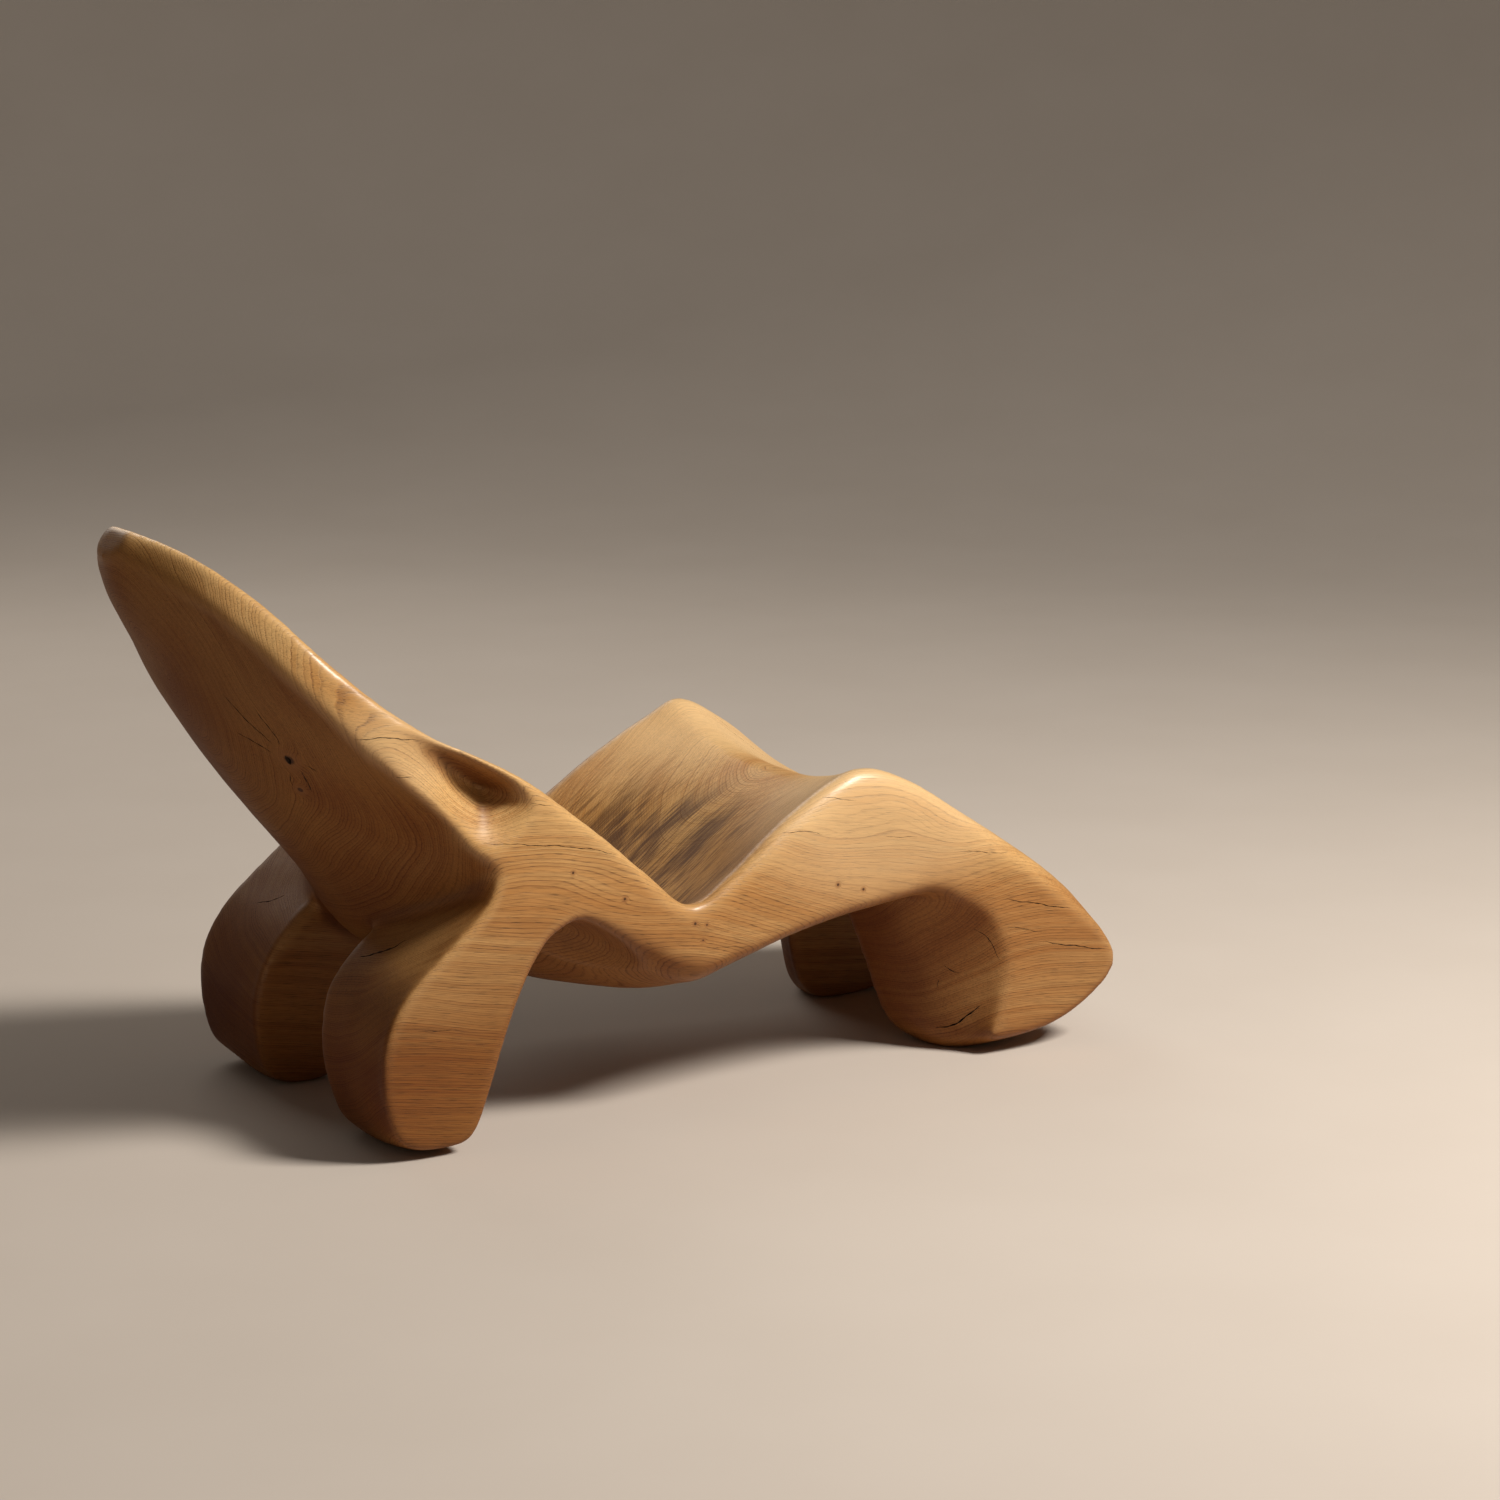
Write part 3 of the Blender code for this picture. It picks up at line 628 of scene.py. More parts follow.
def block_mesh(mesh, names, block):
    """One block as a closed mesh."""
    form = bmesh.new()
    form.from_mesh(mesh)
    form.faces.ensure_lookup_table()
    others = [form.faces[k] for k in np.flatnonzero(names != block)]
    bmesh.ops.delete(form, geom=others, context="FACES")
    close_holes(form)
    bmesh.ops.recalc_face_normals(form, faces=form.faces)
    return mesh_of(form, block)


sawn = sawn_carving()
face_blocks = block_of_faces(sawn)
blocks = {name: block_mesh(sawn, face_blocks, name) for name in sorted(set(face_blocks))}
print("blocks", {name: len(mesh.polygons) for name, mesh in blocks.items()})

# %% [markdown]
# ## Drying checks
#
# A trunk this thick always opens in fine checks as it dries. They run along the grain, about a millimetre
# wide, and on end grain they curve with the rings. A dark line in the material would look painted on, so each
# check is a thin wedge that follows the surface, wanders a little and is cut out, which gives it real depth.
# Behind, checks fan out from a knot with an open middle. The walls of the checks and of the knot's middle are
# painted near black, as painted shade.

# %% Where the checks run
FROM_RIGHT, FROM_LEFT, FROM_ABOVE = (0.0, 1.0, 0.0), (0.0, -1.0, 0.0), (0.0, 0.0, -1.0)
AT_END_GRAIN = (0.8, 0.6, 0.1)
FROM_BEHIND = (0.75, 0.35, 0.55)
ON_LEG_TOP = (0.6, 0.0, -0.8)
# the way one looks at the surface there, width, depth, and points near the surface that the check passes
CHECKS = (
    (FROM_RIGHT, 0.0016, 0.014, ((-0.486, -0.275, 0.553), (-0.440, -0.283, 0.551), (-0.400, -0.285, 0.543))),
    (FROM_RIGHT, 0.0012, 0.010, ((-0.432, -0.279, 0.501), (-0.406, -0.284, 0.497))),
    (FROM_RIGHT, 0.0010, 0.008, ((-0.244, -0.282, 0.446), (-0.216, -0.284, 0.441))),
    (FROM_RIGHT, 0.0014, 0.014, ((-0.312, -0.284, 0.402), (-0.247, -0.285, 0.393), (-0.167, -0.285, 0.379),
                                 (-0.120, -0.283, 0.364))),
    (FROM_RIGHT, 0.0012, 0.010, ((0.140, -0.266, 0.360), (0.168, -0.273, 0.359), (0.200, -0.273, 0.352))),
    (FROM_RIGHT, 0.0010, 0.010, ((0.206, -0.262, 0.399), (0.228, -0.266, 0.396), (0.256, -0.268, 0.390))),
    (FROM_RIGHT, 0.0012, 0.010, ((0.432, -0.267, 0.299), (0.467, -0.267, 0.294), (0.504, -0.266, 0.287))),
    (FROM_RIGHT, 0.0018, 0.016, ((0.504, -0.268, 0.223), (0.560, -0.268, 0.209), (0.612, -0.267, 0.196))),
    (FROM_RIGHT, 0.0012, 0.010, ((0.505, -0.268, 0.184), (0.565, -0.268, 0.169))),
    (FROM_RIGHT, 0.0019, 0.016, ((0.565, -0.268, 0.155), (0.622, -0.268, 0.141), (0.672, -0.268, 0.130))),
    (FROM_RIGHT, 0.0010, 0.008, ((-0.410, -0.285, 0.172), (-0.352, -0.285, 0.166))),
    (FROM_RIGHT, 0.0010, 0.008, ((-0.352, -0.285, 0.108), (-0.318, -0.285, 0.103))),
    (FROM_RIGHT, 0.0009, 0.008, ((0.020, -0.282, 0.222), (0.092, -0.279, 0.214))),
    (FROM_RIGHT, 0.0009, 0.008, ((0.300, -0.268, 0.336), (0.356, -0.268, 0.328))),
    (AT_END_GRAIN, 0.0034, 0.018, ((0.440, -0.194, 0.032), (0.458, -0.220, 0.043), (0.480, -0.244, 0.071))),
    (AT_END_GRAIN, 0.0016, 0.012, ((0.466, -0.246, 0.184), (0.485, -0.256, 0.165), (0.498, -0.261, 0.136))),
    (AT_END_GRAIN, 0.0018, 0.012, ((0.441, -0.211, 0.127), (0.450, -0.217, 0.120), (0.459, -0.223, 0.116))),
    (AT_END_GRAIN, 0.0014, 0.010, ((0.430, -0.205, 0.090), (0.434, -0.208, 0.104))),
    (FROM_ABOVE, 0.0014, 0.012, ((0.326, 0.212, 0.411), (0.360, 0.200, 0.384), (0.396, 0.176, 0.350))),
    (FROM_ABOVE, 0.0010, 0.010, ((0.338, 0.232, 0.410), (0.352, 0.214, 0.394))),
    (FROM_ABOVE, 0.0014, 0.014, ((0.330, -0.060, 0.372), (0.420, -0.066, 0.318), (0.500, -0.072, 0.270))),
    (FROM_ABOVE, 0.0012, 0.012, ((0.420, 0.070, 0.318), (0.520, 0.076, 0.256))),
    (FROM_ABOVE, 0.0012, 0.012, ((-0.420, -0.040, 0.548), (-0.350, -0.034, 0.490), (-0.300, -0.040, 0.450))),
    (FROM_ABOVE, 0.0014, 0.014, ((-0.560, 0.060, 0.700), (-0.480, 0.066, 0.608), (-0.410, 0.062, 0.545))),
    (FROM_LEFT, 0.0014, 0.014, ((-0.470, 0.280, 0.560), (-0.400, 0.285, 0.548))),
    (FROM_LEFT, 0.0013, 0.012, ((-0.250, 0.285, 0.410), (-0.190, 0.285, 0.398), (-0.130, 0.284, 0.376))),
    (FROM_LEFT, 0.0012, 0.012, ((0.120, 0.278, 0.300), (0.200, 0.273, 0.286))),
    (FROM_LEFT, 0.0018, 0.016, ((0.530, 0.267, 0.190), (0.590, 0.268, 0.176), (0.650, 0.266, 0.164))),
    (FROM_LEFT, 0.0012, 0.010, ((0.420, 0.267, 0.290), (0.480, 0.267, 0.280))),
    (FROM_LEFT, 0.0012, 0.010, ((-0.400, 0.285, 0.120), (-0.340, 0.285, 0.112))),
    (ON_LEG_TOP, 0.0044, 0.018, ((-0.408, -0.118, 0.231), (-0.399, -0.145, 0.240), (-0.386, -0.168, 0.252),
                                 (-0.372, -0.179, 0.263))),
    (ON_LEG_TOP, 0.0026, 0.014, ((-0.405, 0.206, 0.235), (-0.396, 0.180, 0.243), (-0.384, 0.160, 0.253))),
    (FROM_BEHIND, 0.0027, 0.012, ((-0.585, -0.122, 0.600), (-0.560, -0.140, 0.562), (-0.536, -0.152, 0.535))),
    (FROM_BEHIND, 0.0024, 0.012, ((-0.566, -0.166, 0.582), (-0.548, -0.168, 0.556), (-0.532, -0.166, 0.534))),
    (FROM_BEHIND, 0.0024, 0.012, ((-0.560, -0.104, 0.548), (-0.545, -0.126, 0.532), (-0.533, -0.144, 0.520))),
    (FROM_BEHIND, 0.0027, 0.012, ((-0.510, -0.168, 0.494), (-0.503, -0.166, 0.478), (-0.497, -0.160, 0.458))),
    (FROM_BEHIND, 0.0020, 0.010, ((-0.508, -0.180, 0.506), (-0.494, -0.190, 0.500))),
    (FROM_BEHIND, 0.0019, 0.010, ((-0.512, -0.146, 0.488), (-0.506, -0.136, 0.470))),
)
KNOT_HOLE_PLACE = (-0.520, -0.160, 0.511)
KNOT_HOLE_HALF = (0.0040, 0.0070)
# depth and share of the full oval of its rings
KNOT_HOLE_LEVELS = ((-0.003, 1.25), (0.0, 1.0), (0.006, 0.7), (0.015, 0.15))
KNOT_HOLE_POINTS = 24
CHECK_STEP = 0.003
CHECK_WANDER = 0.0007
# lengths of the waves in which a check wanders, and the share of each
WANDER_LENGTHS = (0.009, 0.021, 0.050)
WANDER_SHARES = (0.12, 0.5, 1.0)
CHECK_REACH = 0.06
CHECK_RISE = 0.003
CHECK_OPENING = 0.75
CHECK_TIPS = (0.02, 0.98)
# length of the waves in which a check's width changes, and by which share
WIDTH_LENGTH = 0.013
WIDTH_CHANGE = 0.35


def on_surface(tree, points, look):
    """Where rays through some points, along one direction, first meet the carving."""
    way = Vector(look).normalized()
    hits = [tree.ray_cast(Vector(point) - way * CHECK_REACH, way, 2 * CHECK_REACH)[0] for point in points]
    return np.array([hit for hit in hits if hit is not None])


def check_wedge(tree, seed, look, width, depth, points):
    """A check as a grid of rings with three corners: two above the surface, one at its depth.

    From end to end, s = 0 to 1, width and depth follow the square root of sin(pi s), the line sways
    sideways by three sine waves, and another one makes the width uneven.
    """
    random = np.random.default_rng(seed)
    length = np.linalg.norm(np.diff(points, axis=0), axis=1).sum()
    path = smooth_through(points, max(3, int(length / CHECK_STEP / (len(points) - 1))))
    look = np.array(look) / np.linalg.norm(look)
    aside = np.cross(look, path[-1] - path[0])
    aside /= np.linalg.norm(aside)
    s = np.linspace(0, 1, len(path))[:, None]
    turns = length / np.array(WANDER_LENGTHS)
    sway = np.sin(2 * np.pi * (s * turns + random.uniform(0, 1, 3))) @ np.array(WANDER_SHARES)
    path = on_surface(tree, path + CHECK_WANDER * sway[:, None] * aside, look)
    s = np.linspace(0, 1, len(path))[:, None]
    swell = np.sqrt(np.sin(np.pi * np.clip(s, *CHECK_TIPS)))
    uneven = 1 + WIDTH_CHANGE * np.sin(2 * np.pi * (s * length / WIDTH_LENGTH + random.uniform()))
    half = CHECK_OPENING * width * swell * uneven / 2
    top = path - look * CHECK_RISE
    return np.stack([top + aside * half, path + look * depth * swell, top - aside * half], axis=1)


def knot_hole(tree):
    """The open middle of the knot: rings of an oval that narrow inwards, made uneven by two sine waves."""
    look = np.array(FROM_BEHIND) / np.linalg.norm(FROM_BEHIND)
    middle = on_surface(tree, [KNOT_HOLE_PLACE], look)[0]
    across = np.cross(look, (0, 0, 1))
    across /= np.linalg.norm(across)
    turn = np.linspace(0, 2 * np.pi, KNOT_HOLE_POINTS, endpoint=False)[:, None]
    uneven = 1 + 0.12 * np.sin(3 * turn + 1) + 0.07 * np.sin(7 * turn)
    short_half, long_half = KNOT_HOLE_HALF
    oval = (across * short_half * np.cos(turn) + np.cross(across, look) * long_half * np.sin(turn)) * uneven
    return np.stack([middle + look * level + oval * share for level, share in KNOT_HOLE_LEVELS])


sawn_faces = [list(face.vertices) for face in sawn.polygons]
carving_tree = BVHTree.FromPolygons(points_of(sawn).tolist(), sawn_faces)
wedges = [check_wedge(carving_tree, seed, *check) for seed, check in enumerate(CHECKS)]
wedges.append(knot_hole(carving_tree))
print("checks", len(CHECKS), "with", [len(wedge) for wedge in wedges], "rings")

# %% [markdown]
# ## Oak
#
# The figure of oak is the tree itself: rings round the pith, seen wherever the surface cuts them. So the
# material is solid. It takes a point of the object, finds how far it lies from the pith, and works out ring
# and pores there. Scoops and coves then show nested curves without any drawing. Node groups hold what the
# waxed outside and the raw inside share: the place in the trunk, and the rings and pores. A small class keeps
# the wiring readable.

# %% A short way to write nodes
MIX_FIRST, MIX_SECOND, MIX_RESULT = 6, 7, 2
VECTOR, VALUE = "NodeSocketVector", "NodeSocketFloat"


class Graph:
    """Short names for the nodes used here, in one node tree."""

    def __init__(self, tree):
        self.tree = tree

    def put(self, socket, value):
        """Link a socket to another one, or set its value."""
        if isinstance(value, bpy.types.NodeSocket):
            self.tree.links.new(value, socket)
        elif socket.type == "RGBA":
            socket.default_value = (*value, 1.0)
        else:
            socket.default_value = value

    def node(self, kind, inputs=(), **settings):
        """A node with its settings, and its inputs by name or number."""
        node = self.tree.nodes.new(kind)
        for name, value in settings.items():
            setattr(node, name, value)
        for name, value in dict(inputs).items():
            self.put(node.inputs[name], value)
        return node

    def math(self, operation, *values):
        """One sum on numbers."""
        return self.node("ShaderNodeMath", enumerate(values), operation=operation).outputs[0]

    def vector(self, operation, *values):
        """One sum on vectors."""
        return self.node("ShaderNodeVectorMath", enumerate(values), operation=operation).outputs[0]

    def measure(self, operation, *vectors):
        """One number from vectors."""
        node = self.node("ShaderNodeVectorMath", enumerate(vectors), operation=operation)
        return node.outputs["Value"]

    def scaled(self, vector, factor):
        """A vector times a number."""
        return self.node("ShaderNodeVectorMath", {0: vector, "Scale": factor}, operation="SCALE").outputs[0]

    def noise(self, place, stretch, detail=2.0):
        """Smooth noise that changes so many times per metre along each axis."""
        inputs = {"Vector": self.vector("MULTIPLY", place, stretch), "Scale": 1.0, "Detail": detail}
        return self.node("ShaderNodeTexNoise", inputs).outputs

    def step(self, value, low, high, at_low=0.0, at_high=1.0):
        """A smooth step between two values."""
        inputs = {"Value": value, "From Min": low, "From Max": high, "To Min": at_low, "To Max": at_high}
        return self.node("ShaderNodeMapRange", inputs, interpolation_type="SMOOTHSTEP").outputs[0]

    def mix(self, share, first, second, blend="MIX"):
        """One colour over another."""
        inputs = {0: share, MIX_FIRST: first, MIX_SECOND: second}
        return self.node("ShaderNodeMix", inputs, data_type="RGBA", blend_type=blend).outputs[MIX_RESULT]

    def mask(self, name):
        """A mask that the mesh carries."""
        return self.node("ShaderNodeAttribute", attribute_name=name).outputs["Fac"]

    def group(self, tree, inputs):
        """A node group with its inputs, as its outputs."""
        return self.node("ShaderNodeGroup", inputs, node_tree=tree).outputs


def node_group(name, inputs, outputs):
    """An empty group with named sockets: its tree, its graph, what it is given and what it gives."""
    tree = bpy.data.node_groups.new(name, "ShaderNodeTree")
    for socket, kind in inputs.items():
        tree.interface.new_socket(socket, in_out="INPUT", socket_type=kind)
    for socket, kind in outputs.items():
        tree.interface.new_socket(socket, in_out="OUTPUT", socket_type=kind)
    graph = Graph(tree)
    return tree, graph, graph.node("NodeGroupInput").outputs, graph.node("NodeGroupOutput").inputs


# %% The place in the trunk
PITH = (-0.500, 0.0, 0.585)
GRAIN_TURN = float(np.arctan(-GRAIN_SLOPE))
# changes per metre along the grain and across it, and how far the rings move
SWAY_STRETCH, SWAY_DISTANCE = (1.3, 2.6, 2.6), 0.15
RIPPLE_STRETCH, RIPPLE_DISTANCE = (7, 22, 22), 0.004
NOISE_MIDDLE = (0.5, 0.5, 0.5)
ACROSS_TRUNK = (0, 1, 1)
KNOT_REACH = 4
NO_KNOT = 100.0
# place of a knot, its radius, and how far it pushes the rings aside
KNOTS = (
    ((-0.520, -0.162, 0.511), 0.009, 0.014),
    ((-0.497, -0.142, 0.466), 0.005, 0.008),
    ((-0.450, 0.170, 0.520), 0.012, 0.010),
    ((0.420, 0.267, 0.215), 0.010, 0.009),
    ((0.400, 0.060, 0.330), 0.010, 0.010),
    ((-0.185, -0.285, 0.349), 0.0022, 0.002),
    ((-0.109, -0.284, 0.305), 0.0024, 0.002),
    ((-0.003, -0.283, 0.258), 0.0025, 0.002),
    ((0.015, -0.282, 0.254), 0.0020, 0.002),
    ((0.009, -0.282, 0.234), 0.0020, 0.002),
    ((0.226, -0.271, 0.279), 0.0024, 0.002),
    ((0.268, -0.269, 0.267), 0.0022, 0.002),
)


def trunk_group():
    """From a place on the object to its place in the trunk, its distance from the pith, and its nearest knot.

    The trunk's x runs along the grain. Two noises make it sway, and each knot pushes the rings outwards.
    The knot value is the distance from the nearest knot in radii.
    """
    tree, graph, given, gives = node_group(
        "trunk", {"Place": VECTOR}, {"Trunk": VECTOR, "Radius": VALUE, "Knot": VALUE})
    turn = {"Vector": given["Place"], "Location": PITH, "Rotation": (0, GRAIN_TURN, 0)}
    trunk = graph.node("ShaderNodeMapping", turn, vector_type="TEXTURE").outputs[0]
    sway = graph.vector("SUBTRACT", graph.noise(trunk, SWAY_STRETCH)["Color"], NOISE_MIDDLE)
    ripple = graph.vector("SUBTRACT", graph.noise(trunk, RIPPLE_STRETCH)["Color"], NOISE_MIDDLE)
    aside = graph.vector("ADD", graph.scaled(sway, SWAY_DISTANCE), graph.scaled(ripple, RIPPLE_DISTANCE))
    moved = graph.vector("ADD", trunk, aside)
    radius = graph.measure("LENGTH", graph.vector("MULTIPLY", moved, ACROSS_TRUNK))
    nearest = NO_KNOT
    for place, knot_radius, push in KNOTS:
        away = graph.measure("DISTANCE", given["Place"], place)
        radius = graph.math("ADD", radius, graph.step(away, 0.0, KNOT_REACH * knot_radius, push, 0.0))
        nearest = graph.math("MINIMUM", graph.math("DIVIDE", away, knot_radius), nearest)
    graph.put(gives["Trunk"], trunk)
    graph.put(gives["Radius"], radius)
    graph.put(gives["Knot"], nearest)
    return tree


trunk_tree = trunk_group()
print("trunk group", len(trunk_tree.nodes), "nodes")

# %% Rings and pores
RING_WIDTH = 0.0026
# changes per metre along the grain and across it
WAVER_STRETCH = (14, 120, 120)
PORE_STRETCH = (45, 850, 850)
STREAK_STRETCH = (11, 330, 330)
BROAD_STRETCH = (1.6, 7, 7)
WAVER_DISTANCE = 0.0016
# changes of the ring width per metre of radius, and by how many rings they shift
UNEVEN_SCALE, UNEVEN_RINGS = 45.0, 4.0
EARLY_START, EARLY_END = (0.0, 0.10), (0.12, 0.42)
FAINTEST_RING = 0.4
PORE_EDGES = (0.50, 0.68)
LATE_PORES = 0.35


def figure_group():
    """Rings, pores and streaks at a place in the trunk.

    A ring's number is the whole part of radius / ring width, made uneven by a noise of the radius. Early wood
    is a soft bump at the ring's start. Pores are fine noise drawn out along the grain, most of them in early
    wood. Tone is one random number per ring.
    """
    tree, graph, given, gives = node_group(
        "ring figure", {"Trunk": VECTOR, "Radius": VALUE},
        {"Early": VALUE, "Tone": VALUE, "Pores": VALUE, "Streaks": VALUE, "Broad": VALUE})
    waver = graph.noise(given["Trunk"], WAVER_STRETCH)["Fac"]
    fine = graph.math("MULTIPLY_ADD", waver, WAVER_DISTANCE, given["Radius"])
    along_radius = {"W": fine, "Scale": UNEVEN_SCALE, "Detail": 1.0}
    uneven = graph.node("ShaderNodeTexNoise", along_radius, noise_dimensions="1D").outputs["Fac"]
    rings = graph.math("MULTIPLY_ADD", uneven, UNEVEN_RINGS, graph.math("DIVIDE", fine, RING_WIDTH))
    phase = graph.math("FRACT", rings)
    number = graph.math("FLOOR", rings)
    tone = graph.node("ShaderNodeTexWhiteNoise", {"W": number}, noise_dimensions="1D").outputs["Value"]
    early = graph.math("MULTIPLY", graph.step(phase, *EARLY_START), graph.step(phase, *EARLY_END, 1.0, 0.0))
    strength = graph.math("MULTIPLY_ADD", tone, 1 - FAINTEST_RING, FAINTEST_RING)
    early = graph.math("MULTIPLY", early, strength)
    pores = graph.step(graph.noise(given["Trunk"], PORE_STRETCH)["Fac"], *PORE_EDGES)
    pores = graph.math("MULTIPLY", pores, graph.math("MULTIPLY_ADD", early, 1 - LATE_PORES, LATE_PORES))
    graph.put(gives["Early"], early)
    graph.put(gives["Tone"], tone)
    graph.put(gives["Pores"], pores)
    graph.put(gives["Streaks"], graph.noise(given["Trunk"], STREAK_STRETCH, 3.0)["Fac"])
    graph.put(gives["Broad"], graph.noise(given["Trunk"], BROAD_STRETCH)["Fac"])
    return tree


figure_tree = figure_group()
print("figure group", len(figure_tree.nodes), "nodes")

# %% [markdown]
# ## Waxed oak outside, raw oak inside
#
# Outside, the oak is golden where the light wood shows and amber where the wax has darkened it. Early wood
# draws thin brown lines. The masks then do what years of use do, and add painted light and shade: ridges are
# paler and shinier, the knee rest is creamy, partly bleached and partly with a painted highlight, and so are
# the arms, with a painted highlight, hollows and undersides are darker with painted shade, and end grain soaks
# up wax and turns red-brown. On the seat, fine flecks follow the grain and darker patches have soaked in low
# down. Inside the joints and on the tenons the same wood is pale and dull.

# %% Oak materials
PALE, AMBER, LINE = (0.66, 0.395, 0.155), (0.50, 0.238, 0.070), (0.22, 0.082, 0.022)
STAIN, OLIVE, FLECK = (0.085, 0.034, 0.010), (0.52, 0.305, 0.080), (0.19, 0.085, 0.022)
# cream of the paler places: partly bleach, partly painted highlight
CREAM = (0.84, 0.60, 0.330)
# the second and third tints on the next line are painted shade: they darken undersides and legs, and hollows
END_TINT, UNDER_SHADE_TINT, HOLLOW_SHADE_TINT = (0.62, 0.46, 0.26), (0.40, 0.260, 0.135), (0.56, 0.43, 0.30)
KNOT_COLOUR, KNOT_HALO = (0.055, 0.020, 0.008), (0.26, 0.105, 0.034)
RAW_PALE, RAW_AMBER, RAW_LINE = (0.62, 0.43, 0.25), (0.54, 0.35, 0.19), (0.38, 0.225, 0.110)
# the two colours of the check walls, both near black: painted shade deep in the cracks
CHECK_SHADE_DEEP, CHECK_SHADE_SOFT = (0.018, 0.008, 0.004), (0.060, 0.026, 0.011)
CLOUD_EDGES, CLOUD_TONE = (0.38, 0.78), 0.16
LINE_SHARE, PORE_DARKENING = 0.60, -0.62
STREAK_EDGES, STREAK_LIGHT, STREAK_DARK = (0.34, 0.68), 1.07, 0.91
WORN_SHARE, BLEACH_AND_HIGHLIGHT_SHARE, HOLLOW_SHADE_SHARE, OLIVE_SHARE = 0.35, 0.42, 0.8, 0.45
PATCH_STRETCH, THREAD_STRETCH = (4, 20, 8), (24, 380, 24)
FLECK_EDGES, FLECK_SHARE = (0.48, 0.64), 0.6
SOAKED_EDGES, SOAKED_SHARE, SOAKED_THREADS = (0.62, 0.96), 0.90, 0.6
# edges in knot radii, and shares
HALO_EDGES, HALO_SHARE = (0.8, 3.0), 0.6
KNOT_EDGES, KNOT_SHARE = (0.55, 1.05), 0.9
# roughness of wax, raw wood and torn wood, and what each layer adds to it
WAX_ROUGHNESS, RAW_ROUGHNESS, TORN_ROUGHNESS = 0.42, 0.66, 0.75
PORES_DULL, EARLY_DULL, ACROSS_DULL, STAIN_DULL, UNDER_DULL, WORN_DULL = 0.16, 0.06, 0.10, 0.20, 0.22, -0.08
RAW_PORES_DULL, TORN_DULL = 0.15, 0.2
COAT_LEAST, COAT_WORN, COAT_ROUGHNESS = 0.05, 0.35, 0.28
WAX_SPECULAR = 0.24
PORE_DEPTH, RAW_PORE_DEPTH, PORE_STRENGTH, EARLY_DEPTH = 0.0005, 0.0004, 0.5, 0.5


def new_material(name):
    """An empty material: its graph and its shader node."""
    material = bpy.data.materials.new(name)
    material.use_nodes = True
    return material, Graph(material.node_tree), material.node_tree.nodes["Principled BSDF"]


def oak_figure(graph):
    """The two shared groups, fed with the place on the object."""
    place = graph.node("ShaderNodeTexCoord").outputs["Object"]
    trunk = graph.group(trunk_tree, {"Place": place})
    figure = graph.group(figure_tree, {"Trunk": trunk["Trunk"], "Radius": trunk["Radius"]})
    return trunk, figure


def oak_colour(graph, figure, pale, amber, line):
    """Pale to amber in broad clouds and streaks, with brown early wood and dark pores."""
    clouds = graph.math("MULTIPLY_ADD", figure["Tone"], CLOUD_TONE, figure["Broad"])
    colour = graph.mix(graph.step(clouds, *CLOUD_EDGES), pale, amber)
    colour = graph.mix(graph.math("MULTIPLY", figure["Early"], LINE_SHARE), colour, line)
    colour = graph.scaled(colour, graph.step(figure["Streaks"], *STREAK_EDGES, STREAK_LIGHT, STREAK_DARK))
    return graph.scaled(colour, graph.math("MULTIPLY_ADD", figure["Pores"], PORE_DARKENING, 1.0))


def put_pores(graph, shader, height, depth):
    """Let pores and early wood lie a little below the surface."""
    inputs = {"Height": height, "Strength": PORE_STRENGTH, "Distance": depth}
    bump = graph.node("ShaderNodeBump", inputs, invert=True)
    graph.put(shader.inputs["Normal"], bump.outputs["Normal"])


